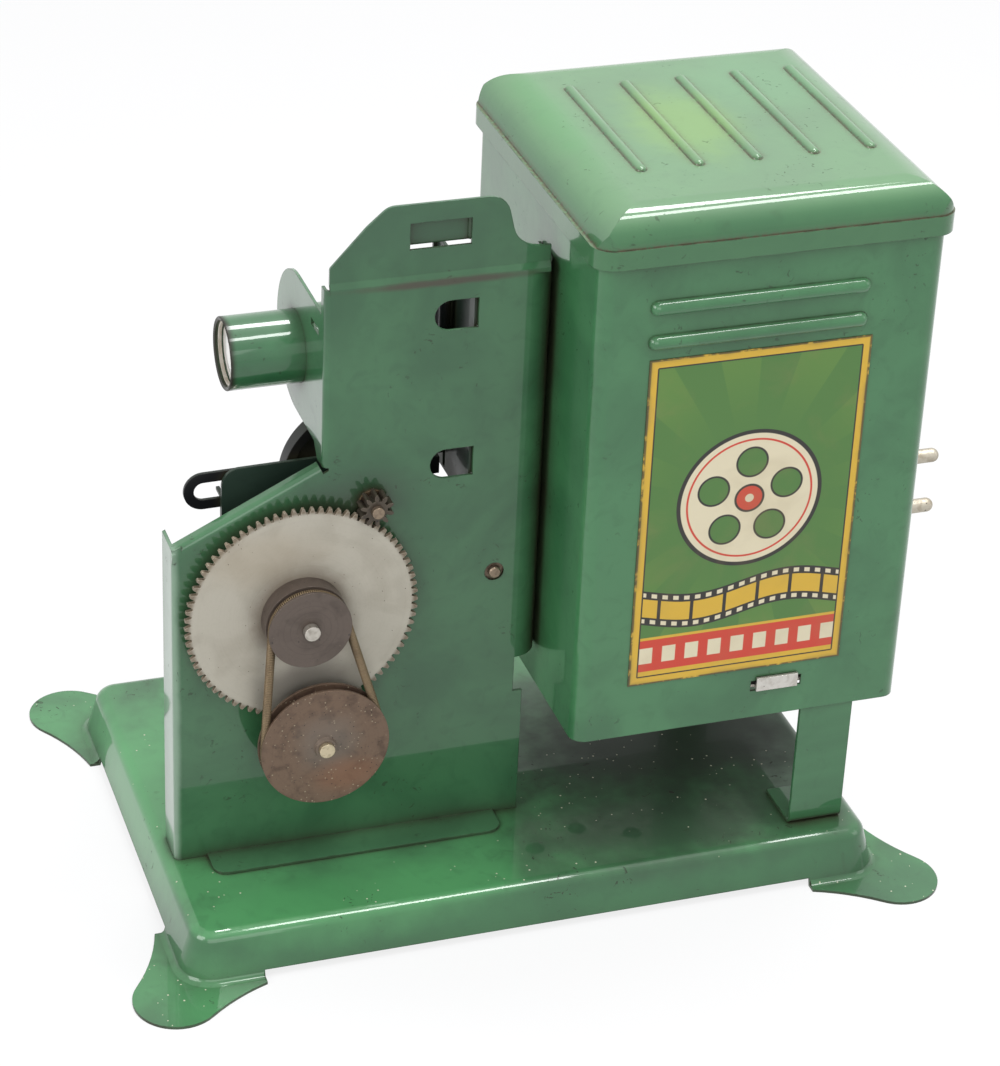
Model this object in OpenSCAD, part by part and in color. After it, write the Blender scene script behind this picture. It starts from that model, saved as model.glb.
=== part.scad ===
// Hand-cranked toy film projector of folded sheet steel, in millimetres.
// X runs along the base, from the lens to the lamp house. Y runs away from the gear side. Z is up.
// The origin is under the middle of the base, on the table.

/* [Base] */
// Length of the base between its end walls
base_l = 246.7; // [244:0.1:280]
// Width of the base between its side walls
base_w = 165.1; // [160:0.1:200]
// Height of the base's top face above the table
base_h = 17.5; // [14:0.5:24]
// Thickness of the base's sheet
base_sheet = 1; // [0.7:0.1:1.5]
// Radius of the base's pressed top edge
base_edge_r = 4.5; // [3:0.5:5]
// Radius of the base's upright corners at the table
base_corner_r = 12; // [11:0.5:14]
// Distance that the base's walls lean in from the table to the top face
base_lean = 5; // [3:0.5:6]
// Gap between the skirt's lower edge and the table
skirt_gap = 3.2; // [2:0.1:5]
// Radius of each foot's round end
foot_r = 14.5; // [11:0.1:17]
// Distance from the base's corner to the middle of a foot, along each side
foot_out = 3.2; // [0:0.1:6]
// Length of a foot's root along the long wall and along the short wall
foot_root = [27.2, 31.6];
// Radius of a foot's hollow sides
foot_hollow_r = 70; // [50:5:100]
// Radius of the curve by which a wall runs out into a foot
foot_flare_r = 3; // [1.5:0.5:3.5]

/* [Tower] */
// Length of the tower from its front flange to its rear flange
tower_l = 125.9; // [120:0.1:132]
// Distance from the base's front wall to the tower
tower_inset = 8.3; // [8:0.1:11]
// Distance from the base's near wall to the tower's near face
tower_setback = 47.3; // [44:0.1:50]
// Thickness of the tower's sheet
tower_sheet = 1; // [0.8:0.1:1.2]
// Length of the low part in front of the lens plate
toe_l = 49.2; // [46:0.1:52]
// Height of the low part's front edge above the base
toe_h = 120; // [116:0.5:124]
// Height above the base at which the slope meets the lens plate
slope_top_h = 144.5; // [140:0.5:146]
// Height of the shoulder crease above the base
shoulder_h = 206; // [203:0.5:212]
// Height of the reel ear above the shoulder crease
ear_h = 26; // [24:0.1:30]
// Depth of the flange on the front edge
front_flange_w = 14; // [8:0.5:14.5]
// Depth of the flange on the slope
slope_flange_w = 4.4; // [3:0.1:6]
// Outer radius of the bend at the rear edge
rear_bend_r = 9; // [6:0.5:11]
// Depth of the rear flange behind the bend
rear_flange_w = 10; // [8:0.5:14]
// Width of the flange that stands on the base
foot_flange_w = 12; // [8:0.5:16]
// Size of each half-round window, along and up
window_size = [14.5, 10.5];
// Radius of the lens plate's round end
lens_plate_r = 24; // [20:0.5:24.5]

/* [Lens] */
// Diameter of the lens barrel
barrel_d = 24.2; // [20:0.1:26]
// Length of the lens barrel
barrel_l = 37; // [32:0.5:42]
// Distance that the barrel stands out of the lens plate
barrel_out = 24.6; // [20:0.1:27]
// Wall of the lens barrel
barrel_wall = 0.9; // [0.7:0.1:1.3]
// Height of the lens axis above the base
lens_h = 171.2; // [169:0.1:173]
// Distance of the lens axis behind the tower's near face
lens_back = 33; // [31:0.1:34]
// Diameter of the lens plate's hole beyond the barrel's own
barrel_slack = 0.12; // [0.04:0.02:0.2]

/* [Gear train] */
// Tooth module of the gear and pinion
tooth_m = 0.95; // [0.9:0.01:1]
// Teeth on the large gear
gear_teeth = 80; // [76:1:84]
// Teeth on the pinion
pinion_teeth = 10; // [10:1:12]
// Thickness of the large gear
gear_t = 1.6; // [1.2:0.1:2]
// Length of the pinion's teeth
pinion_t = 5; // [4:0.1:6]
// Extra centre distance that gives the teeth their play
mesh_play = 0.35; // [0.25:0.05:0.45]
// Distance from the tower's front edge to the crank shaft
crank_in = 41.8; // [41:0.1:44]
// Height of the crank shaft above the base
crank_h = 93.4; // [92:0.1:95]
// Direction of the pinion from the crank shaft, in degrees above the level
pinion_angle = 56.3; // [54:0.1:58]
// Diameter of the crank shaft
crank_shaft_d = 5.2; // [4.6:0.1:6]
// Diameter of the pinion shaft
pinion_shaft_d = 4; // [3.4:0.1:4.4]
// Diameter of the flywheel
flywheel_d = 49; // [46:0.5:49.5]
// Width of the flywheel's rim
flywheel_t = 5.6; // [4:0.1:6]
// Throw of the eccentric that drives the claw
throw = 2.2; // [1.8:0.1:2.2]

/* [Take-up] */
// Distance from the tower's front edge to the take-up shaft
takeup_in = 47.3; // [45:0.1:50]
// Height of the take-up shaft above the base
takeup_h = 47.5; // [44:0.1:49]
// Diameter of the take-up shaft
takeup_shaft_d = 5.2; // [4.6:0.1:6]
// Diameter of the small driving pulley
small_pulley_d = 27.6; // [24:0.1:30]
// Diameter of the large driven pulley
large_pulley_d = 43.4; // [38:0.1:46]
// Diameter of the coiled wire belt
belt_d = 2.7; // [2.2:0.1:3]
// Diameter of the belt's wire
belt_wire_d = 0.6; // [0.5:0.05:0.8]
// Turns of wire round the belt's whole length
belt_curls = 80; // [60:1:90]
// Depth of the belt's centre line below the pulley rims
belt_sink = 1.7; // [1.5:0.1:2]

/* [Crank] */
// Distance from the crank shaft to the handle's pin
crank_throw = 44; // [36:1:45]
// Width of the crank arm
crank_arm_w = 11; // [9:0.5:12]
// Thickness of the crank arm
crank_arm_t = 2.2; // [1.6:0.1:3]
// Length of the turned handle
handle_l = 38; // [30:1:46]
// Largest diameter of the turned handle
handle_d = 15; // [12:0.5:18]

/* [Lamp house] */
// Length of the lamp house
house_l = 116; // [112:0.1:120]
// Width of the lamp house
house_w = 119.7; // [112:0.1:122]
// Height of the lamp house's walls
house_h = 180.5; // [176:0.1:190]
// Distance that the lamp house stands nearer than the tower's near face
house_fore = 34.5; // [30:0.1:38]
// Radius of the lamp house's upright corners
house_corner_r = 5; // [4:0.5:7]
// Thickness of the lamp house's sheet
house_sheet = 0.8; // [0.6:0.1:1]
// Height of the lamp house's lower edge above the base
leg_h = 47.9; // [44:0.1:50]
// Width of the strap that carries the lamp house
strap_w = 19; // [14:0.5:24]
// Thickness of that strap
strap_t = 1.2; // [1:0.1:2]
// Play between the lid's skirt and the walls
lid_play = 1.2; // [0.4:0.1:1.5]
// Whole height of the lid
lid_h = 17.8; // [16:0.1:20]
// Radius of the lid's near and far top edges
lid_edge_r = 10.6; // [8:0.1:12]
// Radius of the lid's left and right top edges
lid_side_r = 16; // [13:0.1:16]
// Ribs across the lid
lid_ribs = 5; // [3:1:7]
// Length of the louvres
louvre_l = 73.4; // [60:0.1:80]
// Length of the label
label_l = 75; // [60:1:80]
// Height of the label
label_h = 120; // [100:1:124]

/* [Lamp] */
// Diameter of the lamp's glass
lamp_d = 32; // [26:0.5:36]
// Length of the lamp with its cap
lamp_l = 112; // [100:1:112]
// Height of the filament above the lamp's lowest point
filament_h = 72; // [66:1:74]
// Distance of the lamp behind the condenser wall
lamp_back = 40; // [38:1:44]
// Diameter of the condenser lens
condenser_d = 38; // [32:0.5:40]
// Diameter of an inlet pin
inlet_d = 4.8; // [4.4:0.1:5.2]
// Spacing of the two inlet pins
inlet_pitch = 19; // [17:0.1:20]
// Distance that an inlet pin stands out of the wall
inlet_out = 13.9; // [12:0.1:13.9]

/* [Film path] */
// Width of the film
film_w = 16; // [15.9:0.1:16.1]
// Distance from the lens plate to the film gate
gate_back = 50.3; // [49:0.1:52]
// Thickness of the gate's plate
gate_t = 1; // [0.8:0.1:1.2]
// Diameter of the lower guide roller
roller_d = 12; // [9:0.5:14]

/* [Hidden] */

$fn = 72;
enamel = [0.30, 0.52, 0.36];
black_enamel = [0.10, 0.10, 0.15];
grey_steel = [0.66, 0.66, 0.64];
brown_steel = [0.42, 0.36, 0.31];
brass = [0.72, 0.60, 0.33];
glass = [0.80, 0.90, 0.92, 0.4];

// Clearances
run = 0.05;       // between a shaft and its bush, all round
gap = 0.3;        // between pieces that move past each other
seat = 0.05;      // between pieces that only lie together
eps = 0.01;

// Places on the base and tower
base_x0 = -base_l / 2;
base_y0 = -base_w / 2;
lean_angle = atan2(base_lean, base_h);
base_flat_r = base_corner_r - (base_edge_r + (base_h - base_edge_r) * sin(lean_angle)) / cos(lean_angle);
foot_root_out = 2.6;
tower_x0 = base_x0 + tower_inset;
tower_x1 = tower_x0 + tower_l;
tower_y0 = base_y0 + tower_setback;
tower_back = tower_y0 + tower_sheet;
lens_x = tower_x0 + toe_l;
toe_z = base_h + toe_h;
slope_z = base_h + slope_top_h;
slope_angle = atan2(slope_z - toe_z, toe_l);
slope_l = norm([slope_z - toe_z, toe_l]);
shoulder_z = base_h + shoulder_h;
fold_r = 2;

// Lens and gate
lens_y = tower_y0 + lens_back;
lens_z = base_h + lens_h;
barrel_x0 = lens_x - barrel_out;
barrel_r = barrel_d / 2;
sleeve_t = 1;
sleeve_l = 14;
gate_x = lens_x + gate_back;
gate_film_x = gate_x - gate_t;
gate_z0 = lens_z - 49;
gate_z1 = lens_z + 30;
guide_w = 1.4;
guide_t = 1.2;

// Gear train
crank_x = tower_x0 + crank_in;
crank_z = base_h + crank_h;
gear_r = (gear_teeth + 2) * tooth_m / 2;
centre_d = (gear_teeth + pinion_teeth) * tooth_m / 2 + mesh_play;
pinion_x = crank_x + centre_d * cos(pinion_angle);
pinion_z = crank_z + centre_d * sin(pinion_angle);
gear_y0 = tower_y0 - 4.75;
pinion_y0 = gear_y0 - (pinion_t - gear_t) / 2;
bush_flange_t = 0.8;
bush_wall = 1.4;
plate_y = tower_y0 + 14.8;
plate_t = 1.2;
link_y = plate_y + plate_t + 1.4;
link_t = 1.2;
wheel_y = link_y + link_t + 0.7;
ecc_r = 6;
ecc_x = pinion_x;
ecc_z = pinion_z + throw;

// Windows, bridge and roller stud
window_z = [lens_z - 31.4, lens_z + 21.8];
bridge_x = lens_x + 27.3;
bridge_l = 20;
bridge_w = 9;
bridge_back = 2.4;
stud_x = tower_x1 - 17.5;
stud_z = base_h + 96.7;
stud_d = 4.2;
stud_hole_d = 6.6;
film_y0 = lens_y - film_w / 2;
film_y1 = lens_y + film_w / 2;
roller_y0 = film_y0 - 1.6;
roller_y1 = film_y1 + 1.6;

// Claw link
prong_h = 1.1;
link_slot_z = pinion_z - 0.9;
link_rest_z = link_slot_z + throw;
claw_x = gate_film_x - 4.6;
claw_y = film_y0 + 1.8;

// Belt and take-up
takeup_x = tower_x0 + takeup_in;
takeup_z = base_h + takeup_h;
belt_y = tower_y0 - 12.4;
drive_r = small_pulley_d / 2;
driven_r = large_pulley_d / 2;
drive_pitch_r = drive_r - belt_sink;
driven_pitch_r = driven_r - belt_sink;
belt_groove_r = belt_d / 2 + gap;
pulley_lip = 0.9;
pulley_half = belt_groove_r + pulley_lip;
belt_dx = takeup_x - crank_x;
belt_dz = takeup_z - crank_z;
belt_c = norm([belt_dx, belt_dz]);
belt_angle = atan2(belt_dz, belt_dx);
belt_tilt = asin((driven_pitch_r - drive_pitch_r) / belt_c);
belt_lead = 90 + belt_tilt;
belt_run = belt_c * cos(belt_tilt);
belt_arc_a = PI * drive_pitch_r * (360 - 2 * belt_lead) / 180;
belt_arc_b = PI * driven_pitch_r * 2 * belt_lead / 180;
belt_l = belt_arc_a + belt_arc_b + 2 * belt_run;

// Shafts, crank and handle along Y
drive_y0 = belt_y - pulley_half;
drive_y1 = gear_y0 - seat;
crank_y0 = drive_y0 - 2.4;
takeup_y0 = drive_y0 - 2.6;
takeup_y1 = film_y1 + 5;
collar_back = film_y0 + 1;
spindle_d = takeup_shaft_d - 0.4;
collar_y = plate_y + plate_t + 0.8 + gap;
arm_y = tower_y0 + 52;
handle_pin_d = 4;
handle_y0 = arm_y + crank_arm_t + gap;

// Gate door
hinge_d = 1.6;
hinge_x = gate_film_x - 3.2;
hinge_y = film_y0 - 3.3;
door_x = gate_film_x - 2.2;
door_t = 0.9;
door_half = 16;
ear_t = 1.2;

// Lamp house
house_x0 = tower_x1 + gap;
house_x1 = house_x0 + house_l;
house_y0 = tower_y0 - house_fore;
house_y1 = house_y0 + house_w;
house_z0 = base_h + leg_h;
house_z1 = house_z0 + house_h;
house_in_x0 = house_x0 + house_sheet;
house_in_x1 = house_x1 - house_sheet;
house_in_y0 = house_y0 + house_sheet;
house_in_y1 = house_y1 - house_sheet;
floor_z = house_z0 + 11.3;
floor_t = 1;
strap_x = house_x1 - 25.1;
label_x = house_x0 + 17.9;
label_z = house_z0 + 19.6;
label_t = 0.25;
louvre_z = [label_z + label_h + 6.2, label_z + label_h + 18.1];
louvre_r = 2.5;
tab_w = 14.6;
tab_x = house_x0 + 71;
lid_sheet = house_sheet;
lid_skirt = lid_h - lid_edge_r;
lid_inner_r = lid_side_r - lid_sheet;
lid_seat = lid_h - lid_side_r + sqrt(pow(lid_inner_r, 2) - pow(lid_inner_r - lid_play, 2));
lid_z0 = house_z1 + seat - lid_seat;
lid_out = lid_play + lid_sheet;
lid_x0 = house_x0 - lid_out;
lid_y0 = house_y0 - lid_out;
lid_l = house_l + 2 * lid_out;
lid_w = house_w + 2 * lid_out;
rib_pitch = 19.4;
rib_l = 70;
rib_r = 2;
rib_drop = -0.7;
rib_y = (lid_w - rib_l) / 2 + 3.5;
rivet_d = 3.2;
rivet_y = tower_y0 + rear_bend_r + rear_flange_w / 2;
rivet_z = [house_z0 + 26, house_z0 + 86, house_z0 + 146];

// Lamp and its supply
lamp_x = house_in_x0 + lamp_back;
lamp_z0 = lens_z - filament_h;
cap_d = 26;
cap_l = 25;
bulb_wall = 0.8;
socket_d = 38;
socket_t = 32;
socket_z = lamp_z0 - 6;
inlet_y = house_y0 + 16.5;
inlet_z = house_z0 + 63.4;
inlet_in = 12;
inlet_seat_d = inlet_d + 1.2;
block_t = 7;
strip_t = 0.9;
reflector_x = lamp_x + lamp_d / 2 + 12;
terminal_y = lens_y - socket_d / 2 - 4;
strap_x0 = house_in_x1 - block_t - 2.4 - strip_t;

// Places a flat outline, drawn in X and Z, as a sheet with its near face at y
module upright(y, t) {
    translate([0, y + t, 0]) rotate([90, 0, 0]) linear_extrude(t) children();
}

// Places a flat outline, drawn in Y and Z, as a sheet with its front face at x
module crosswise(x, t) {
    translate([x, 0, 0]) rotate([90, 0, 90]) linear_extrude(t) children();
}

// A rod along Y between y0 and y1
module rod_y(x, z, y0, y1, d) {
    translate([x, y0, z]) rotate([-90, 0, 0]) cylinder(d = d, h = y1 - y0);
}

// A rod along X between x0 and x1
module rod_x(x0, x1, y, z, d) {
    translate([x0, y, z]) rotate([0, 90, 0]) cylinder(d = d, h = x1 - x0);
}

// A turned piece about an axis along Y: the outline gives radius and distance from y
module turned_y(x, z, y) {
    translate([x, y, z]) rotate([-90, 0, 0]) rotate_extrude() children();
}

// A turned piece about an axis along X: the outline gives radius and distance from x
module turned_x(x, y, z) {
    translate([x, y, z]) rotate([0, 90, 0]) rotate_extrude() children();
}

// A box between two opposite corners
module box(a, b) {
    translate(a) cube(b - a);
}

// A rectangle about the origin with corners of radius r
module rounded_rect(l, w, r) {
    for (s = [-1, 1]) {
        translate([s * (l / 2 - r), w / 2 - r]) circle(r);
        translate([s * (l / 2 - r), r - w / 2]) circle(r);
    }
    square([l - 2 * r, w], center = true);
    square([l, w - 2 * r], center = true);
}

// Sweeps an outline of distance and height round a rounded rectangle of corner radius r
module swept_rim(l, w, r) {
    for (i = [0 : 3]) rotate(90 * i) {
        a = i % 2 == 0 ? l : w;
        b = i % 2 == 0 ? w : l;
        translate([a / 2 - r, b / 2 - r, 0]) {
            rotate_extrude(angle = 90) children();
            rotate([90, 0, 0]) linear_extrude(b - 2 * r) children();
        }
    }
}

// The section of a folded sheet: legs a along X and b along Y, outer radius r
module fold_section(a, b, r, t) {
    translate([r, 0]) square([a - r, t]);
    translate([0, r]) square([t, b - r]);
    intersection() {
        translate([r, r]) difference() {
            circle(r);
            circle(r - t);
        }
        square(r);
    }
}

// Centre of an arc of radius h that starts at p and runs into a circle of radius r about c
function hollow_centre(p, c, h, r, side) =
    let (d = c - p, q = atan2(d.y, d.x) + side * acos((h * h + d * d - pow(h + r, 2)) / (2 * h * norm(d))))
    p + h * [cos(q), sin(q)];

// The rounding of radius r at b, on the way from a to c
function corner_arc(a, b, c, r) =
    let (u = (a - b) / norm(a - b), v = (c - b) / norm(c - b), half = acos(u * v) / 2,
        p = b + (u + v) / norm(u + v) * r / sin(half), d = b + u * r / tan(half) - p,
        e = b + v * r / tan(half) - p, start = atan2(d.y, d.x),
        turn = (atan2(e.y, e.x) - start + 540) % 360 - 180)
    [for (i = [0 : 6]) p + r * [cos(start + turn * i / 6), sin(start + turn * i / 6)]];

// An outline with a rounding at each point, given as [x, y, radius]
function rounded_outline(points) =
    let (n = len(points))
    [for (i = [0 : n - 1]) let (p = points[i], a = points[(i + n - 1) % n], b = points[(i + 1) % n])
        each p.z == 0 ? [[p.x, p.y]] : corner_arc([a.x, a.y], [p.x, p.y], [b.x, b.y], p.z)];

// One tooth flank: angle from the tooth's middle at radius q, for pitch radius pr
function inv(a) = tan(a) * 180 / PI - a;
function half_tooth(q, pr, n) =
    let (rb = pr * cos(20), qq = max(q, rb))
    90 / n - 1.2 / n + inv(20) - inv(acos(rb / qq));

// A spur gear's outline of n teeth of module m, with a tooth along +X
module gear_outline(n, m, deep) {
    pr = n * m / 2;
    radii = [pr - deep * m, pr - 0.4 * m, pr + 0.3 * m, pr + m];
    polygon([for (i = [0 : n - 1]) each concat(
        [for (k = [0 : 3]) let (a = 360 * i / n - half_tooth(radii[k], pr, n)) radii[k] * [cos(a), sin(a)]],
        [for (k = [3 : -1 : 0]) let (a = 360 * i / n + half_tooth(radii[k], pr, n))
            radii[k] * [cos(a), sin(a)]])]);
}

// One foot's outline, about the corner of the base at the origin, with the base towards -X and -Y
module foot_outline() {
    c = foot_out * [1, 1];
    a = [-foot_root.x, foot_root_out];
    b = [foot_root_out, -foot_root.y];
    pa = hollow_centre(a, c, foot_hollow_r, foot_r, 1);
    pb = hollow_centre(b, c, foot_hollow_r, foot_r, -1);
    join_r = foot_r - 0.03;
    ta = c + (pa - c) * join_r / norm(pa - c);
    tb = c + (pb - c) * join_r / norm(pb - c);
    difference() {
        union() {
            translate(c) circle(foot_r);
            polygon([[-foot_root.x, -base_sheet / 2], a, ta, c, tb, b, [-base_sheet / 2, -foot_root.y],
                -base_corner_r / 2 * [1, 1]]);
        }
        for (p = [pa, pb]) translate(p) circle(foot_hollow_r - eps, $fn = 360);
    }
}

// The base's wall and edge from the corner's middle outwards, at a distance inside its outer face
module pan_section(in) {
    c = [base_flat_r, base_h - base_edge_r];
    foot = in == 0 ? 0 : -1;
    x = base_corner_r - in / cos(lean_angle) - foot * tan(lean_angle);
    lap = 0.5;
    steps = 10;
    polygon(concat([[c.x - lap, foot], [x, foot]],
        [for (i = [0 : steps]) let (a = lean_angle + (90 - lean_angle) * i / steps)
            c + (base_edge_r - in) * [cos(a), sin(a)]],
        [[c.x - lap, base_h - in]]));
}

// The base's whole form, at a distance inside its outer face
module pan_form(in) {
    foot = in == 0 ? 0 : -1;
    shrink = 2 * (base_corner_r - base_flat_r);
    translate([0, 0, foot]) linear_extrude(base_h - in - foot)
        rounded_rect(base_l - shrink, base_w - shrink, base_flat_r);
    swept_rim(base_l, base_w, base_corner_r) pan_section(in);
}

// Section of the curve between a wall and a foot, from the corner's middle outwards
module flare_section() {
    r = foot_flare_r;
    n = [cos(lean_angle), sin(lean_angle)];
    c = [base_corner_r + (r - (base_sheet + r) * n.y) / n.x, base_sheet + r];
    k = [base_corner_r - base_sheet * n.y / n.x, base_sheet];
    difference() {
        polygon([[c.x, base_sheet / 2], [k.x - base_sheet / 2, base_sheet / 2],
            c - (r + base_sheet / 2) * n, c]);
        translate(c - 0.05 * [1, 1]) circle(r);
    }
}

module base_pan() {
    color(enamel) difference() {
        union() {
            pan_form(0);
            linear_extrude(base_sheet) for (sx = [-1, 1], sy = [-1, 1])
                scale([sx, sy]) translate([base_l / 2, base_w / 2]) foot_outline();
            intersection() {
                swept_rim(base_l, base_w, base_corner_r) flare_section();
                for (sx = [-1, 1], sy = [-1, 1]) translate([sx * base_l / 2, sy * base_w / 2, 0])
                    cube([2 * foot_root.x - 0.8, 2 * foot_root.y - 0.8, base_h], center = true);
            }
        }
        pan_form(base_sheet);
        for (s = [-1, 1]) {
            translate([0, s * base_w / 2, (skirt_gap - 1) / 2])
                cube([base_l - 2 * foot_root.x, 3 * base_corner_r, skirt_gap + 1], center = true);
            translate([s * base_l / 2, 0, (skirt_gap - 1) / 2])
                cube([3 * base_corner_r, base_w - 2 * foot_root.y, skirt_gap + 1], center = true);
        }
    }
}

// The near sheet's outline, from the front edge to the start of the rear bend
module panel_outline() {
    x1 = tower_x1 - rear_bend_r;
    polygon([
        [tower_x0 + fold_r, base_h], [tower_x1 - 5.7, base_h], [tower_x1 - 5.7, house_z0 + 0.5],
        [x1, house_z0 + 0.5], [x1, shoulder_z], [lens_x + fold_r, shoulder_z],
        [lens_x + fold_r, slope_z - fold_r], [tower_x0 + fold_r, toe_z - fold_r]]);
}

// The half-round windows: round towards the lens, square where the tab is folded in
module window_outline(z) {
    r = window_size.y / 2;
    translate([gate_x - window_size.x + r, z]) {
        circle(r);
        translate([0, -r]) square([window_size.x - r, window_size.y]);
    }
}

// The ear that takes the upper reel arm
module ear_outline() {
    x0 = lens_x + 1.6;
    x1 = tower_x1 - 3;
    difference() {
        polygon(rounded_outline([
            [x0, shoulder_z, 0], [x0, shoulder_z + 7, 1.5], [x0 + 11.6, shoulder_z + 19.8, 8],
            [x0 + 18.6, shoulder_z + ear_h, 6], [tower_x1 - 18.3, shoulder_z + ear_h, 7],
            [tower_x1 - 14, shoulder_z + 8, 9], [x1, shoulder_z + 7.4, 0], [x1, shoulder_z, 0]]));
        translate([bridge_x, shoulder_z + 10.6]) square([bridge_l, bridge_w]);
    }
}

// The strip pushed back out of the ear, with a sloped end at each side
module ear_bridge() {
    y = tower_y0 + 1;
    z = shoulder_z + 11.3;
    translate([0, 0, z]) linear_extrude(bridge_w - 1.4) polygon([
        [bridge_x - 3, y], [bridge_x - 3, y + tower_sheet], [bridge_x + 0.8, y + bridge_back + tower_sheet],
        [bridge_x + bridge_l - 0.8, y + bridge_back + tower_sheet],
        [bridge_x + bridge_l + 3, y + tower_sheet],
        [bridge_x + bridge_l + 3, y], [bridge_x + bridge_l - 0.4, y + bridge_back],
        [bridge_x + 0.4, y + bridge_back]]);
}

// The lens plate's outline in Y and Z
module lens_plate_outline() {
    y = tower_y0 + fold_r;
    difference() {
        union() {
            translate([y, lens_z - lens_plate_r + 1]) square([lens_y - y, 2 * lens_plate_r]);
            translate([lens_y, lens_z + 1]) circle(lens_plate_r);
            translate([y, slope_z + 1]) square([2.5, shoulder_z - slope_z - 1]);
            polygon([[y, slope_z - 1], [y + 5, slope_z - 1], [y + 9, slope_z + 4],
                [y + 9, slope_z + 6], [y, slope_z + 6]]);
        }
        translate([lens_y, lens_z]) circle(d = barrel_d + barrel_slack);
        translate([tower_y0 + 7, lens_z + 16.3]) square([9, 2.2]);
    }
}

module tower_panel() {
    flange_l = 100.5;
    color(enamel) {
        upright(tower_y0, tower_sheet) difference() {
            panel_outline();
            for (z = window_z) window_outline(z);
            translate([crank_x, crank_z]) circle(d = crank_shaft_d + 2 * bush_wall + 2 * run);
            translate([takeup_x, takeup_z]) circle(d = takeup_shaft_d + 2 * bush_wall + 2 * run);
            translate([pinion_x, pinion_z]) circle(d = pinion_shaft_d + 2 * bush_wall + 2 * run);
            translate([stud_x, stud_z]) circle(d = stud_hole_d);
        }
        // Front edge and slope, folded back and mitred where they meet
        difference() {
            translate([tower_x0, tower_y0, base_h]) linear_extrude(toe_h + 2)
                fold_section(fold_r + 1, front_flange_w, fold_r, tower_sheet);
            translate([tower_x0 - 2, tower_y0 - 1, toe_z - 0.05]) rotate([0, -slope_angle, 0])
                translate([-2, 0, -2 * sin(slope_angle)]) cube([10, front_flange_w + 2, 9]);
        }
        difference() {
            translate([tower_x0, tower_y0, toe_z]) rotate([0, -slope_angle, 0]) translate([-2, 0, 0])
                rotate([90, 0, 90]) linear_extrude(slope_l + 1) mirror([0, 1]) rotate(90)
                    mirror([0, 1]) fold_section(fold_r + 2.2, slope_flange_w, fold_r, tower_sheet);
            translate([tower_x0 - 9, tower_y0 - 1, toe_z - 9]) cube([9, slope_flange_w + 2, 12]);
        }
        // Lens plate, folded back from the front edge of the high part
        crosswise(lens_x, tower_sheet) lens_plate_outline();
        translate([lens_x, tower_y0, slope_z - 1]) linear_extrude(shoulder_z - slope_z + 1)
            fold_section(fold_r + 1, fold_r + 1, fold_r, tower_sheet);
        // Rear edge, bent back against the lamp house
        difference() {
            translate([tower_x1, tower_y0, house_z0 + 14]) mirror([1, 0, 0])
                linear_extrude(shoulder_z - house_z0 - 14)
                    fold_section(rear_bend_r + 0.5, rear_bend_r + rear_flange_w, rear_bend_r, tower_sheet);
            for (z = rivet_z) rod_x(tower_x1 - 3, tower_x1 + 1, rivet_y, z, rivet_d);
        }
        // Shoulder crease and the ear above it
        translate([lens_x + 1.6, 0, 0]) crosswise(0, tower_x1 - 3 - lens_x - 1.6) polygon([
            [tower_y0, shoulder_z - 1.5], [tower_y0 + tower_sheet, shoulder_z - 1.5],
            [tower_y0 + tower_sheet, shoulder_z - 0.4], [tower_y0 + 2 * tower_sheet, shoulder_z + 1.6],
            [tower_y0 + 2 * tower_sheet, shoulder_z + 2.6], [tower_y0 + tower_sheet, shoulder_z + 2.6],
            [tower_y0 + tower_sheet, shoulder_z + 2], [tower_y0, shoulder_z]]);
        difference() {
            upright(tower_y0 + tower_sheet, tower_sheet) ear_outline();
            translate([lens_x, tower_y0, shoulder_z - 5]) cube([tower_l, 4, 7]);
        }
        ear_bridge();
        // Tabs folded in from the windows to carry the gate
        for (z = window_z) crosswise(gate_x, tower_sheet) difference() {
            translate([tower_y0, z - window_size.y / 2])
                square([window_size.x, window_size.y]);
            translate([tower_y0 + window_size.x, z]) difference() {
                translate([-2.6, -9]) square([9, 18]);
                translate([-5.3, 0]) circle(d = window_size.y);
            }
        }
        // Flange that stands on the base
        translate([tower_x0 + 11, tower_y0 - foot_flange_w, base_h]) linear_extrude(tower_sheet) {
            for (x = [5, flange_l - 5]) translate([x, 5]) circle(5);
            translate([5, 0]) square([flange_l - 10, foot_flange_w + tower_sheet]);
            translate([0, 5]) square([flange_l, foot_flange_w - 5]);
        }
    }
}

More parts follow.
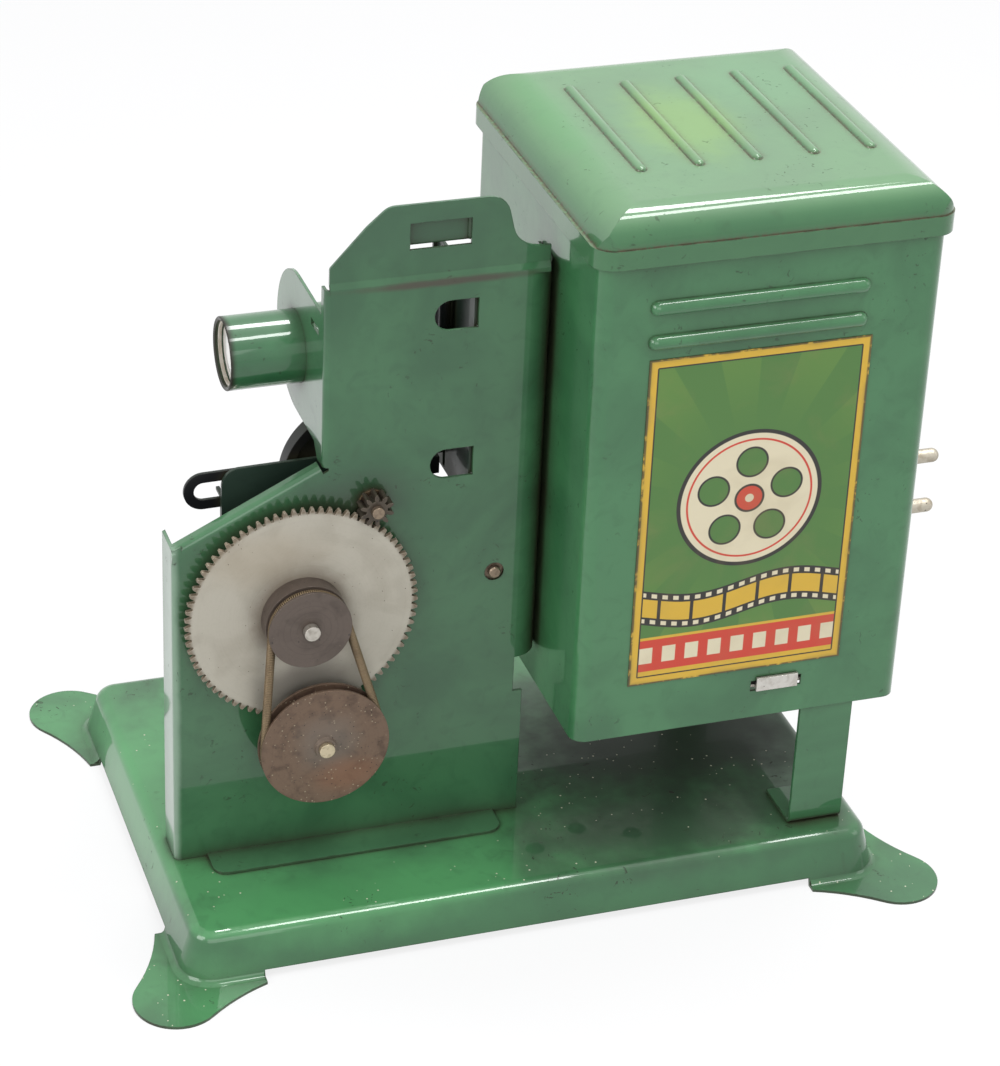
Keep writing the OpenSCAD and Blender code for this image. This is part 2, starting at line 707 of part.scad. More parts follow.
// The second bearing plate, with flanges that reach back to the near sheet
module mechanism_plate() {
    x0 = tower_x0 + 19.9;
    x1 = pinion_x + 17;
    z0 = takeup_z - 14;
    z1 = slope_z - 4.6;
    r = 6;
    color(enamel) {
        upright(plate_y, plate_t) difference() {
            union() {
                polygon([[x0, z0], [x1, z0], [x1, z1], [x0 + r, z1 - 1], [x0, z1 - 1 - r]]);
                translate([x0 + r, z1 - 1 - r]) circle(r);
            }
            translate([crank_x, crank_z]) circle(d = crank_shaft_d + 2 * bush_wall + 2 * run);
            translate([takeup_x, takeup_z]) circle(d = takeup_shaft_d + 2 * bush_wall + 2 * run);
            translate([pinion_x, pinion_z]) circle(d = pinion_shaft_d + 2 * bush_wall + 2 * run);
        }
        // Edge folded back, and the prong that guides the claw link's slot
        box([x0, plate_y, z0 + 40], [x0 + plate_t, plate_y + 4, link_slot_z - 9]);
        box([x0, plate_y, link_slot_z - 9], [x0 + plate_t, link_y - gap, link_slot_z - prong_h / 2]);
        box([x0, plate_y, link_slot_z - prong_h / 2 - eps],
            [x0 + plate_t, link_y + link_t + 4, link_slot_z + prong_h / 2]);
        // Lower and rear flanges with feet welded to the near sheet
        box([x0 + 12, tower_back, z0], [x1, plate_y + plate_t, z0 + plate_t]);
        box([x0 + 12, tower_back, z0 - 10], [x1, tower_back + plate_t, z0 + plate_t]);
        box([x1 - plate_t, tower_back, crank_z - 8], [x1, plate_y + plate_t, pinion_z - 8]);
        box([x1 - plate_t, tower_back, crank_z - 8], [x1 + 10, tower_back + plate_t, pinion_z - 8]);
    }
}

// Flanged bush with its flange outside the near sheet
module bush(x, z, d, y0, y1) {
    turned_y(x, z, y0) polygon([
        [d / 2 + run, -bush_flange_t], [d / 2 + bush_wall + 1.2, -bush_flange_t],
        [d / 2 + bush_wall + 1.2, 0], [d / 2 + run + bush_wall, 0],
        [d / 2 + run + bush_wall, y1 - y0], [d / 2 + run, y1 - y0]]);
}

module bearing_bushes() {
    color(brass) for (b = [[crank_x, crank_z, crank_shaft_d], [takeup_x, takeup_z, takeup_shaft_d],
                           [pinion_x, pinion_z, pinion_shaft_d]]) {
        bush(b.x, b.y, b.z, tower_y0, tower_back + 1.4);
        bush(b.x, b.y, b.z, plate_y, plate_y + plate_t + 0.8);
    }
}

module crank_shaft() {
    color(grey_steel) {
        rod_y(crank_x, crank_z, crank_y0, arm_y + crank_arm_t + 1.2, crank_shaft_d);
        // Collar that keeps the shaft in its bushes
        difference() {
            rod_y(crank_x, crank_z, collar_y, collar_y + 4, crank_shaft_d + 5);
            rod_y(crank_x, crank_z, collar_y - 1, collar_y + 5, crank_shaft_d - eps);
        }
    }
}

module main_gear() {
    color(grey_steel) {
        upright(gear_y0, gear_t) difference() {
            translate([crank_x, crank_z]) rotate(pinion_angle + 180 / gear_teeth)
                gear_outline(gear_teeth, tooth_m, 1.15);
            translate([crank_x, crank_z]) circle(d = crank_shaft_d);
        }
        // Hub between the gear and the bush
        turned_y(crank_x, crank_z, gear_y0 + gear_t - eps) polygon([
            [crank_shaft_d / 2, 0], [crank_shaft_d / 2 + 3, 0],
            [crank_shaft_d / 2 + 3, tower_y0 - bush_flange_t - gap - gear_y0 - gear_t],
            [crank_shaft_d / 2, tower_y0 - bush_flange_t - gap - gear_y0 - gear_t]]);
    }
}

// A grooved pulley's outline: bore and rim radius, and its length behind the groove's lip
module pulley_outline(bore_r, rim_r, pitch_r, tail_r, tail) {
    difference() {
        union() {
            translate([bore_r, -pulley_half]) square([rim_r - bore_r, 2 * pulley_half]);
            translate([bore_r, pulley_half - eps]) square([tail_r - bore_r, tail + eps]);
        }
        translate([pitch_r, 0]) circle(belt_groove_r);
        translate([pitch_r, -belt_groove_r]) square([rim_r, 2 * belt_groove_r]);
    }
}

module drive_pulley() {
    color(brown_steel) turned_y(crank_x, crank_z, belt_y)
        pulley_outline(crank_shaft_d / 2, drive_r, drive_pitch_r, drive_r, drive_y1 - belt_y - pulley_half);
}

module crank_arm() {
    root = crank_arm_w / 2 + 1;
    tip = crank_arm_w / 2 - 0.3;
    color(grey_steel) upright(arm_y, crank_arm_t) difference() {
        union() {
            translate([crank_x, crank_z]) circle(d = crank_arm_w + 3);
            translate([crank_x + crank_throw, crank_z]) circle(d = crank_arm_w);
            translate([crank_x, crank_z])
                polygon([[0, -root], [crank_throw, -tip], [crank_throw, tip], [0, root]]);
        }
        translate([crank_x, crank_z]) circle(d = crank_shaft_d);
        translate([crank_x + crank_throw, crank_z]) circle(d = handle_pin_d);
    }
}

module handle_pin() {
    color(grey_steel) turned_y(crank_x + crank_throw, crank_z, arm_y - 1.2) polygon([
        [0, 0], [handle_pin_d / 2 + 1, 0], [handle_pin_d / 2 + 1, 1.2], [handle_pin_d / 2, 1.2],
        [handle_pin_d / 2, handle_y0 - arm_y + 1.2 + handle_l + gap],
        [handle_pin_d / 2 + 1.4, handle_y0 - arm_y + 1.2 + handle_l + gap],
        [handle_pin_d / 2 + 0.6, handle_y0 - arm_y + 1.2 + handle_l + gap + 1.4],
        [0, handle_y0 - arm_y + 1.2 + handle_l + gap + 1.6]]);
}

// The turned wooden handle, slender at the arm and full towards its end
module crank_handle() {
    b = handle_pin_d / 2 + run;
    r = handle_d / 2;
    color([0.14, 0.09, 0.06]) turned_y(crank_x + crank_throw, crank_z, handle_y0) polygon(concat(
        [[b, 0]], [for (i = [0 : 24]) let (u = i / 24)
            [r * (0.62 + 0.38 * sin(180 * pow(u, 1.5))) * (1 - 0.12 * pow(u, 24)), u * handle_l]],
        [[b, handle_l]]));
}

module pinion_shaft() {
    color(grey_steel) rod_y(pinion_x, pinion_z, pinion_y0 - 1.6, wheel_y + flywheel_t + 1.2, pinion_shaft_d);
}

module pinion() {
    color(brown_steel) upright(pinion_y0, pinion_t) difference() {
        translate([pinion_x, pinion_z]) rotate(pinion_angle + 180)
            gear_outline(pinion_teeth, tooth_m, 1.25);
        translate([pinion_x, pinion_z]) circle(d = pinion_shaft_d);
    }
}

module flywheel() {
    r = flywheel_d / 2;
    color(black_enamel) turned_y(pinion_x, pinion_z, wheel_y) polygon([
        [pinion_shaft_d / 2, 0], [7, 0], [7, 1], [r - 3.2, 1], [r - 3.2, 0], [r, 0], [r, flywheel_t],
        [r - 3.2, flywheel_t], [r - 3.2, 2.2], [7, 2.2], [7, flywheel_t], [pinion_shaft_d / 2, flywheel_t]]);
}

module eccentric() {
    color(grey_steel) difference() {
        union() {
            rod_y(ecc_x, ecc_z, link_y - 0.1, wheel_y, 2 * ecc_r);
            rod_y(ecc_x, ecc_z, link_y + link_t + gap, wheel_y, 2 * ecc_r + 2);
            rod_y(pinion_x, pinion_z, collar_y, link_y, 2 * ecc_r - 2 * throw - 1);
        }
        rod_y(pinion_x, pinion_z, plate_y, wheel_y + 1, pinion_shaft_d);
    }
}

// The black link: a slot on the guide prong, a ring round the eccentric and a claw for the film
module claw_link() {
    w = 13;
    slot_w = 6.3;
    slot_l = 34;
    left_x = tower_x0 + 14.5;
    tilt = atan2(ecc_z - link_rest_z, ecc_x - left_x);
    color(black_enamel) {
        upright(link_y, link_t) difference() {
            union() {
                translate([left_x, link_rest_z]) rotate(tilt) {
                    circle(d = w);
                    translate([0, -w / 2]) square([ecc_x - left_x, w]);
                }
                translate([ecc_x, ecc_z]) circle(ecc_r + 4);
                polygon([[ecc_x, ecc_z + 6], [claw_x, ecc_z + 1], [claw_x, ecc_z - 5], [ecc_x, ecc_z - 6]]);
            }
            translate([left_x, link_rest_z]) rotate(tilt) {
                circle(d = slot_w);
                translate([0, -slot_w / 2]) square([slot_l - slot_w, slot_w]);
                translate([slot_l - slot_w, 0]) circle(d = slot_w);
            }
            translate([ecc_x, ecc_z]) circle(ecc_r + run);
        }
        // Arm turned back to the film's perforations, and the tooth
        box([claw_x - link_t, link_y, ecc_z - 5], [claw_x, claw_y + 0.6, ecc_z + 1]);
        box([claw_x - link_t, claw_y - 0.6, ecc_z - 2.6], [gate_film_x - 0.4, claw_y + 0.6, ecc_z - 1.4]);
    }
}

module takeup_shaft() {
    color(grey_steel) {
        rod_y(takeup_x, takeup_z, takeup_y0, collar_back, takeup_shaft_d);
        // Spindle for the take-up reel
        turned_y(takeup_x, takeup_z, collar_back) polygon([[0, -eps], [spindle_d / 2, -eps],
            [spindle_d / 2, takeup_y1 - collar_back], [spindle_d / 2 - 0.6, takeup_y1 - collar_back + 1],
            [0, takeup_y1 - collar_back + 1]]);
        difference() {
            rod_y(takeup_x, takeup_z, collar_y, collar_y + 3, takeup_shaft_d + 5);
            rod_y(takeup_x, takeup_z, collar_y - 1, collar_y + 4, takeup_shaft_d - eps);
        }
    }
}

module takeup_pulley() {
    color(brown_steel) {
        turned_y(takeup_x, takeup_z, belt_y)
            pulley_outline(takeup_shaft_d / 2, driven_r, driven_pitch_r, takeup_shaft_d / 2 + 4,
                tower_y0 - bush_flange_t - gap - belt_y - pulley_half);
        // Boss on the front
        turned_y(takeup_x, takeup_z, belt_y - pulley_half - 1.2) polygon([
            [takeup_shaft_d / 2, 0], [takeup_shaft_d / 2 + 0.9, 0], [takeup_shaft_d / 2 + 1.3, 1.3],
            [takeup_shaft_d / 2, 1.3]]);
    }
}

// Collar that the take-up reel sits against, with the peg that drives it
module reel_collar() {
    y = film_y0 - 2;
    color(grey_steel) {
        turned_y(takeup_x, takeup_z, y) polygon([[takeup_shaft_d / 2, 0], [12, 0], [12, 1.2],
            [6, 1.2], [6, collar_back - y], [takeup_shaft_d / 2, collar_back - y]]);
        rod_y(takeup_x, takeup_z + 9, y + 1, collar_back + 1.5, 2);
    }
}

// Point and outward direction at distance s along the run: [x, y, angle]
function belt_at(s) =
    s < belt_arc_a ? let (a = belt_lead + s / drive_pitch_r * 180 / PI)
        [drive_pitch_r * cos(a), drive_pitch_r * sin(a), a]
    : s < belt_arc_a + belt_run ? let (a = -belt_lead, t = s - belt_arc_a)
        [drive_pitch_r * cos(a) - t * sin(a), drive_pitch_r * sin(a) + t * cos(a), a]
    : s < belt_arc_a + belt_run + belt_arc_b
        ? let (a = -belt_lead + (s - belt_arc_a - belt_run) / driven_pitch_r * 180 / PI)
        [belt_c + driven_pitch_r * cos(a), driven_pitch_r * sin(a), a]
    : let (a = belt_lead, t = s - belt_arc_a - belt_run - belt_arc_b)
        [belt_c + driven_pitch_r * cos(a) - t * sin(a), driven_pitch_r * sin(a) + t * cos(a), a];

// Middle of the wire at ring i of the coil
function coil_point(i) =
    let (n = belt_curls * 8, q = belt_at(belt_l * ((i + n) % n) / n), w = 45 * i,
        r = (belt_d - belt_wire_d) / 2)
    [q.x + r * cos(w) * cos(q.z), q.y + r * cos(w) * sin(q.z), r * sin(w)];

// The six points of ring i, square to the wire
function coil_ring(i) =
    let (d = coil_point(i + 1) - coil_point(i - 1), q = belt_at(belt_l * i / (belt_curls * 8)),
        u0 = [cos(45 * i) * cos(q.z), cos(45 * i) * sin(q.z), sin(45 * i)],
        t = d / norm(d), u1 = u0 - (u0 * t) * t, u = u1 / norm(u1), v = cross(t, u))
    [for (k = [0 : 5]) coil_point(i) + belt_wire_d / 2 * (cos(60 * k) * u + sin(60 * k) * v)];

// The drive belt: one closed coil of wire round both pulleys
module drive_belt() {
    n = belt_curls * 8;
    mids = [for (i = [0 : n - 1]) coil_point(i)];
    echo(least_gap_between_the_belts_turns =
        min([for (i = [0 : n - 1], j = [5 : 20]) norm(mids[i] - mids[(i + j) % n])]) - belt_wire_d);
    color([0.52, 0.47, 0.36]) translate([crank_x, belt_y, crank_z]) rotate([90, 0, 0]) rotate(belt_angle)
        polyhedron([for (i = [0 : n - 1]) each coil_ring(i)],
            [for (i = [0 : n - 1], k = [0 : 5]) let (a = 6 * i, b = 6 * ((i + 1) % n), m = (k + 1) % 6)
                each [[a + k, b + k, b + m], [a + k, b + m, a + m]]]);
}

// The sleeve behind the lens plate that the barrel slides in
module lens_plate_sleeve() {
    r0 = barrel_r + run;
    color(enamel) turned_x(lens_x + tower_sheet, lens_y, lens_z) polygon([
        [r0, 0], [r0 + 5, 0], [r0 + 5, sleeve_t], [r0 + sleeve_t, sleeve_t],
        [r0 + sleeve_t, sleeve_l], [r0, sleeve_l]]);
}

module lens_barrel() {
    color(enamel) turned_x(barrel_x0, lens_y, lens_z) polygon([
        [barrel_r - 1.3, 0.4], [barrel_r - 0.3, 0], [barrel_r, 0.3], [barrel_r, barrel_l],
        [barrel_r - barrel_wall, barrel_l], [barrel_r - barrel_wall, barrel_l - 6],
        [barrel_r - barrel_wall - 1.2, barrel_l - 6], [barrel_r - barrel_wall - 1.2, barrel_l - 7],
        [barrel_r - barrel_wall, barrel_l - 7], [barrel_r - barrel_wall, 1.3], [barrel_r - 1.3, 1.3]]);
}

// A lens outline: half of a biconvex section, edge radius r and edge thickness t
module lens_outline(r, t, bulge) {
    intersection() {
        union() {
            translate([0, -t / 2]) square([r, t]);
            for (s = [0, 1]) mirror([0, s]) intersection() {
                q = (r * r + bulge * bulge) / (2 * bulge);
                translate([0, t / 2 + bulge - q]) circle(q, $fn = 180);
                translate([0, t / 2 - eps]) square([r, bulge + 1]);
            }
        }
        translate([0, -t - bulge]) square([r, 2 * t + 2 * bulge]);
    }
}

module front_lens() {
    color(glass) turned_x(barrel_x0 + 4, lens_y, lens_z)
        lens_outline(barrel_r - barrel_wall - run, 1.6, 1.4);
}

module rear_lens() {
    color(glass) turned_x(barrel_x0 + barrel_l - 4.4, lens_y, lens_z)
        lens_outline(barrel_r - barrel_wall - run, 2, 1.6);
}

module lens_ring() {
    r = barrel_r - barrel_wall - 0.02;
    color([0.86, 0.82, 0.70]) turned_x(barrel_x0 + 1.3 + 0.05, lens_y, lens_z) polygon([
        [r - 1.3, 0], [r, 0], [r, 1.2], [r - 0.7, 1.2]]);
}

// The fixed plate of the film gate, with its guides, hinge ears and slots
module film_gate() {
    y0 = film_y0;
    y1 = film_y1;
    color(black_enamel) {
        crosswise(gate_film_x, gate_t - seat) difference() {
            {
                translate([tower_back + 0.5, gate_z0])
                    square([y1 + guide_w + gap - tower_back - 0.5, gate_z1 - gate_z0]);
            }
            translate([lens_y - 5, lens_z - 3.7]) square([10, 7.4]);
            translate([claw_y - 1.2, pinion_z - 6]) square([2.4, 12]);
        }
        // Edge guides
        for (y = [y0 - guide_w - gap, y1 + gap])
            box([gate_film_x - guide_t, y, gate_z0 + (y < lens_y ? 16 : 0)],
                [gate_film_x + eps, y + guide_w, gate_z1]);
        // Hinge ears
        for (z = [lens_z - door_half - gap - ear_t, lens_z + door_half + gap]) difference() {
            box([gate_film_x - 5, y0 - 4.8, z], [gate_film_x + eps, y0 - guide_w - gap - 0.2, z + ear_t]);
            translate([hinge_x, hinge_y, z - 1]) cylinder(d = hinge_d + 2 * run, h = ear_t + 2);
        }
    }
}

module gate_hinge_pin() {
    reach = door_half + gap + ear_t;
    color(grey_steel) translate([hinge_x, hinge_y, lens_z]) {
        translate([0, 0, -reach - 0.8]) cylinder(d = hinge_d, h = 2 * reach + 1.2);
        translate([0, 0, reach]) cylinder(d = hinge_d + 1.2, h = 0.8);
    }
}

// The hinged door that holds the film flat, with its window and finger lip
module gate_door() {
    y1 = film_y1;
    z0 = lens_z - door_half;
    z1 = lens_z + door_half;
    color(black_enamel) {
        crosswise(door_x - door_t, door_t) difference() {
            translate([hinge_y + 1.2, z0]) square([y1 - hinge_y - 1.2, z1 - z0]);
            translate([lens_y - 5.6, lens_z - 4.4]) square([11.2, 8.8]);
        }
        difference() {
            union() {
                translate([hinge_x, hinge_y, z0]) cylinder(d = hinge_d + 2.2, h = z1 - z0);
                box([door_x - door_t, hinge_y, z0], [door_x, hinge_y + 1.4, z1]);
            }
            translate([hinge_x, hinge_y, z0 - 1]) cylinder(d = hinge_d + 2 * run, h = z1 - z0 + 2);
        }
        box([door_x - door_t - 6, y1 - door_t, lens_z - 6], [door_x - eps, y1, lens_z + 6]);
    }
}

// Bowed spring strips between the door and the film's edges
module pressure_runners() {
    color(brass) for (y = [film_y0 + 0.3, film_y1 - 2.1])
        translate([door_x, y + 1.8, lens_z]) rotate([90, 0, 0]) linear_extrude(1.8) difference() {
            translate([1.4 - 60, 0]) circle(60, $fn = 360);
            translate([1.4 - 60, 0]) circle(59.7, $fn = 360);
            translate([-200, -100]) square([200, 200]);
        }
}

module roller_stud() {
    color(grey_steel) turned_y(stud_x, stud_z, tower_y0 - 1.2) polygon([
        [0, 0], [stud_d / 2 - 0.4, 0], [stud_d / 2, 0.4], [stud_d / 2, 1.2 + tower_sheet],
        [stud_d / 2 + 2.6, 1.2 + tower_sheet], [stud_d / 2 + 2.6, 3.4], [stud_d / 2 + 1, 3.4],
        [stud_d / 2 + 1, roller_y0 - tower_y0 + 1.2 - gap], [stud_d / 2, roller_y0 - tower_y0 + 1.2 - gap],
        [stud_d / 2, roller_y1 - tower_y0 + 1.6], [stud_d / 2 + 1.2, roller_y1 - tower_y0 + 1.6],
        [stud_d / 2 + 1.2, roller_y1 - tower_y0 + 2.8], [0, roller_y1 - tower_y0 + 2.8]]);
}

module guide_roller() {
    r = roller_d / 2;
    b = stud_d / 2 + run;
    l = roller_y1 - roller_y0;
    color(grey_steel) turned_y(stud_x, stud_z, roller_y0) polygon([
        [b, 0], [r + 2, 0], [r + 2, 1.2], [r, 1.6], [r, 4.4], [r - 1, 4.8], [r - 1, l - 4.8],
        [r, l - 4.4], [r, l - 1.6], [r + 2, l - 1.2], [r + 2, l], [b, l]]);
}

// The two straps under the lamp house, each turned in on the base and up inside a side wall
module support_leg() {
    z1 = floor_z - seat;
    y0 = house_in_y0;
    y1 = house_in_y1;
    color(enamel) translate([strap_x - strap_w / 2, 0, base_h]) rotate([90, 0, 90]) linear_extrude(strap_w) {
        translate([y0, 0]) fold_section(20, z1 - base_h, 2.4, strap_t);
        translate([y1, 0]) mirror([1, 0]) fold_section(20, z1 - base_h, 2.4, strap_t);
    }
}

// A pressed louvre on a wall that faces -Y, open along its lower side
module louvre(l) {
    r = louvre_r;
    difference() {
        rotate([0, 90, 0]) {
            translate([0, 0, r]) cylinder(r = r, h = l - 2 * r);
            translate([0, 0, r]) sphere(r);
            translate([0, 0, l - r]) sphere(r);
        }
        rotate([0, 90, 0]) {
            translate([0, 0, r]) cylinder(r = r - house_sheet, h = l - 2 * r);
            translate([0, 0, r]) sphere(r - house_sheet);
            translate([0, 0, l - r]) sphere(r - house_sheet);
        }
        translate([-1, 0, -2 * r]) cube([l + 2, 2 * r, 4 * r]);
        translate([r, -2 * r, -r - 1]) cube([l - 2 * r, 2 * r, 1.6]);
    }
}

module lamp_house() {
    cx = (house_x0 + house_x1) / 2;
    cy = (house_y0 + house_y1) / 2;
    lx = label_x - 1;
    color(enamel) {
        difference() {
            translate([cx, cy, house_z0]) linear_extrude(house_h) difference() {
                rounded_rect(house_l, house_w, house_corner_r);
                rounded_rect(house_l - 2 * house_sheet, house_w - 2 * house_sheet,
                    house_corner_r - house_sheet);
            }
            // Light hole, inlet holes, rivet holes, louvre slots and the slot for the floor's tab
            rod_x(house_x0 - 1, house_in_x0 + 1, lens_y, lens_z, condenser_d - 4);
            for (s = [0, 1]) rod_x(house_in_x1 - 1, house_x1 + 1, inlet_y, inlet_z + s * inlet_pitch,
                inlet_seat_d + 3);
            for (z = rivet_z) rod_x(house_x0 - 1, house_in_x0 + 1, rivet_y, z, rivet_d);
            for (z = louvre_z, y = [house_y0 - 1, house_in_y1 - 1])
                box([lx + louvre_r, y, z - 1.5], [lx + louvre_l - louvre_r, y + house_sheet + 2, z + 1.5]);
            box([tab_x - 9, house_y0 - 1, floor_z - 0.9], [tab_x + 9, house_in_y0 + 1, floor_z + 3]);
        }
        for (z = louvre_z) {
            translate([lx, house_y0, z]) louvre(louvre_l);
            translate([lx, house_y1, z]) mirror([0, 1, 0]) louvre(louvre_l);
        }
    }
}

// The lid's form at a distance inside its outer face: every top edge rounded, meeting in mitres
module lid_form(in) {
    l = lid_l - 2 * in;
    w = lid_w - 2 * in;
    h = lid_h - in;
    cr = house_corner_r + lid_out - in;
    intersection() {
        translate([in, in + w, 0]) rotate([90, 0, 0]) linear_extrude(w) lid_arch(l, h, lid_side_r - in);
        translate([in, in, 0]) rotate([90, 0, 90]) linear_extrude(l) lid_arch(w, h, lid_edge_r - in);
        translate([lid_l / 2, lid_w / 2, -2]) linear_extrude(h + 4) rounded_rect(l, w, cr);
    }
}

module lid_arch(l, h, r) {
    translate([0, -1]) square([l, h - r + 1]);
    translate([r, -1]) square([l - 2 * r, h + 1]);
    for (x = [r, l - r]) translate([x, h - r]) circle(r);
}

module lamp_house_lid() {
    bead = 0.5;
    color(enamel) translate([lid_x0, lid_y0, lid_z0]) {
        difference() {
            union() {
                intersection() {
                    lid_form(0);
                    cube([lid_l, lid_w, lid_h]);
                }
                translate([lid_l / 2, lid_w / 2, 0]) linear_extrude(lid_skirt - 0.6)
                    rounded_rect(lid_l + 2 * bead, lid_w + 2 * bead, house_corner_r + lid_out + bead);
            }
            lid_form(lid_sheet);
            for (i = [0 : lid_ribs - 1]) translate([lid_rib_x(i), rib_y, lid_h + rib_drop])
                rib_rod(rib_r - lid_sheet);
        }
        difference() {
            for (i = [0 : lid_ribs - 1]) translate([lid_rib_x(i), rib_y, lid_h + rib_drop])
                rib_rod(rib_r);
            for (i = [0 : lid_ribs - 1]) translate([lid_rib_x(i), rib_y, lid_h + rib_drop])
                rib_rod(rib_r - lid_sheet);
            translate([0, 0, -lid_sheet]) cube([lid_l, lid_w, lid_h]);
        }
    }
}

function lid_rib_x(i) = lid_l / 2 + 3.75 + (i - (lid_ribs - 1) / 2) * rib_pitch;

// A rib's form: a rod along Y with ball ends
module rib_rod(r) {
    translate([0, r, 0]) rotate([-90, 0, 0]) cylinder(r = r, h = rib_l - 2 * r);
    for (y = [r, rib_l - r]) translate([0, y, 0]) sphere(r);
}

module lamp_house_floor() {
    g = 0.1;
    y0 = house_in_y0 + g;
    cr = house_corner_r - house_sheet;
    color(grey_steel) {
        translate([0, 0, floor_z]) linear_extrude(floor_t) difference() {
            translate([(house_x0 + house_x1) / 2, (house_y0 + house_y1) / 2])
                rounded_rect(house_l - 2 * house_sheet - 2 * g, house_w - 2 * house_sheet - 2 * g, cr);
            translate([lamp_x, lens_y]) for (a = [0 : 45 : 315]) rotate(a) translate([27, 0]) circle(3.5);
        }
        // Tab through the near wall, folded up outside
        box([tab_x - tab_w / 2, house_y0 - 1.2, floor_z], [tab_x + tab_w / 2, y0 + 2, floor_z + floor_t]);
        box([tab_x - tab_w / 2, house_y0 - 1.2, floor_z - 0.6],
            [tab_x + tab_w / 2, house_y0 - 0.3, floor_z + 4.4]);
    }
}

module label_sheet() {
    color([0.85, 0.72, 0.2]) box([label_x, house_y0 - seat - label_t, label_z],
        [label_x + label_l, house_y0 - seat, label_z + label_h]);
}

module house_rivets() {
    x0 = tower_x1 - tower_sheet;
    x1 = house_in_x0;
    r = rivet_d / 2 - 0.02;
    color(grey_steel) for (z = rivet_z) turned_x(x0 - 1.4, rivet_y, z) polygon([
        [0, 0], [1.6, 0.2], [2.6, 0.8], [2.8, 1.4], [r, 1.4], [r, x1 - x0 + 1.4],
        [2.6, x1 - x0 + 1.4], [2.2, x1 - x0 + 2.2], [0, x1 - x0 + 2.4]]);
}

module condenser_mount() {
    r = condenser_d / 2;
    color(grey_steel) turned_x(house_in_x0, lens_y, lens_z) polygon([
        [r - 2, 0], [r + 3.4, 0], [r + 3.4, 0.8], [r + 0.9, 0.8], [r + 0.9, 5], [r - 0.8, 5], [r - 0.8, 4.2],
        [r + 0.1, 4.2], [r + 0.1, 0.8], [r - 2, 0.8]]);
}

module condenser_lens() {
    r = condenser_d / 2;
    color(glass) turned_x(house_in_x0 + 0.8 + seat, lens_y, lens_z) intersection() {
        q = (r * r + 36) / 12;
        union() {
            square([r, 2.4]);
            translate([0, 2.4 + 6 - q]) circle(q, $fn = 240);
        }
        square([r, 12]);
    }
}

module reflector() {
    color([0.82, 0.82, 0.80]) turned_x(reflector_x, lens_y, lens_z) intersection() {
        difference() {
            translate([0, -30]) circle(31, $fn = 240);
            translate([0, -30]) circle(30, $fn = 240);
        }
        translate([0, -12]) square([21, 14]);
    }
}

module reflector_post() {
    x = reflector_x + 1 + seat;
    color(grey_steel) {
        box([x, lens_y - 5, floor_z + floor_t], [x + 1.2, lens_y + 5, lens_z + 5]);
        box([x, lens_y - 5, floor_z + floor_t], [x + 14, lens_y + 5, floor_z + floor_t + 1.2]);
    }
}

module lamp_stand() {
    z0 = floor_z + floor_t;
    color(grey_steel) {
        for (s = [-1, 1]) {
            box([lamp_x + s * 15 - 5, lens_y - 9, z0], [lamp_x + s * 15 + 5, lens_y + 9, z0 + 1.2]);
            box([lamp_x + s * 15 - 0.6, lens_y - 9, z0], [lamp_x + s * 15 + 0.6, lens_y + 9, socket_z]);
        }
        difference() {
            box([lamp_x - 15.6, lens_y - 9, socket_z - 1.2], [lamp_x + 15.6, lens_y + 9, socket_z]);
            translate([lamp_x, lens_y, socket_z - 2]) cylinder(d = 5, h = 4);
        }
    }
}

module lamp_socket() {
    r = cap_d / 2 + gap;
    color([0.90, 0.88, 0.82]) translate([lamp_x, lens_y, socket_z]) {
        rotate_extrude() polygon([
            [0, 0], [socket_d / 2 - 3, 0], [socket_d / 2, 4], [socket_d / 2, socket_t - 2],
            [socket_d / 2 - 2, socket_t], [r, socket_t], [r, 6 - seat], [0, 6 - seat]]);
        // Boss that takes the two terminals
        difference() {
            box([-10, terminal_y - lens_y, 5], [10, -r - 1.5, socket_t - 5]);
            translate([0, 0, 3]) cylinder(r = r + 1, h = socket_t);
        }
    }
}

module lamp_cap() {
    color(brass) translate([lamp_x, lens_y, lamp_z0]) rotate_extrude() polygon(concat(
        [[0, 0], [5, 0], [8, 2.5]],
        [for (i = [0 : 20]) [cap_d / 2 - 0.7 + 0.7 * sin(i * 90), 4 + i * (cap_l - 4) / 20]],
        [[0, cap_l]]));
}

// Radius and height of the lamp glass's outline, at a distance inside its outer face
function bulb(in) =
    let (r = lamp_d / 2 - in, neck = cap_d / 2 - 1.5 - in, top = lamp_l - cap_l - 0.8 * lamp_d / 2)
    concat([[neck, in > 0 ? -eps : 0]],
        [for (i = [0 : 8]) let (u = i / 8) [neck + (r - neck) * (1 - cos(180 * u)) / 2, 3 + 12 * u]],
        [for (i = [0 : 12]) let (a = 90 * i / 12) [r * cos(a), top + (0.8 * lamp_d / 2 - in) * sin(a)]]);

// The lamp's tubular glass with a domed top
module lamp_glass() {
    color(glass) translate([lamp_x, lens_y, lamp_z0 + cap_l]) rotate_extrude() difference() {
        polygon(concat([[0, 0]], bulb(0)));
        polygon(concat([[0, -eps]], bulb(bulb_wall)));
    }
}

// Two wires from the cap and the coil between them
module lamp_filament() {
    z = lamp_z0 + cap_l;
    color(grey_steel) {
        for (s = [-1, 1]) translate([lamp_x, lens_y + 3 * s, z + 5]) cylinder(d = 1, h = lens_z - z - 5);
        rod_y(lamp_x, lens_z, lens_y - 4.2, lens_y + 4.2, 1.8);
        translate([lamp_x, lens_y, z]) cylinder(d = 10, h = 9);
    }
}

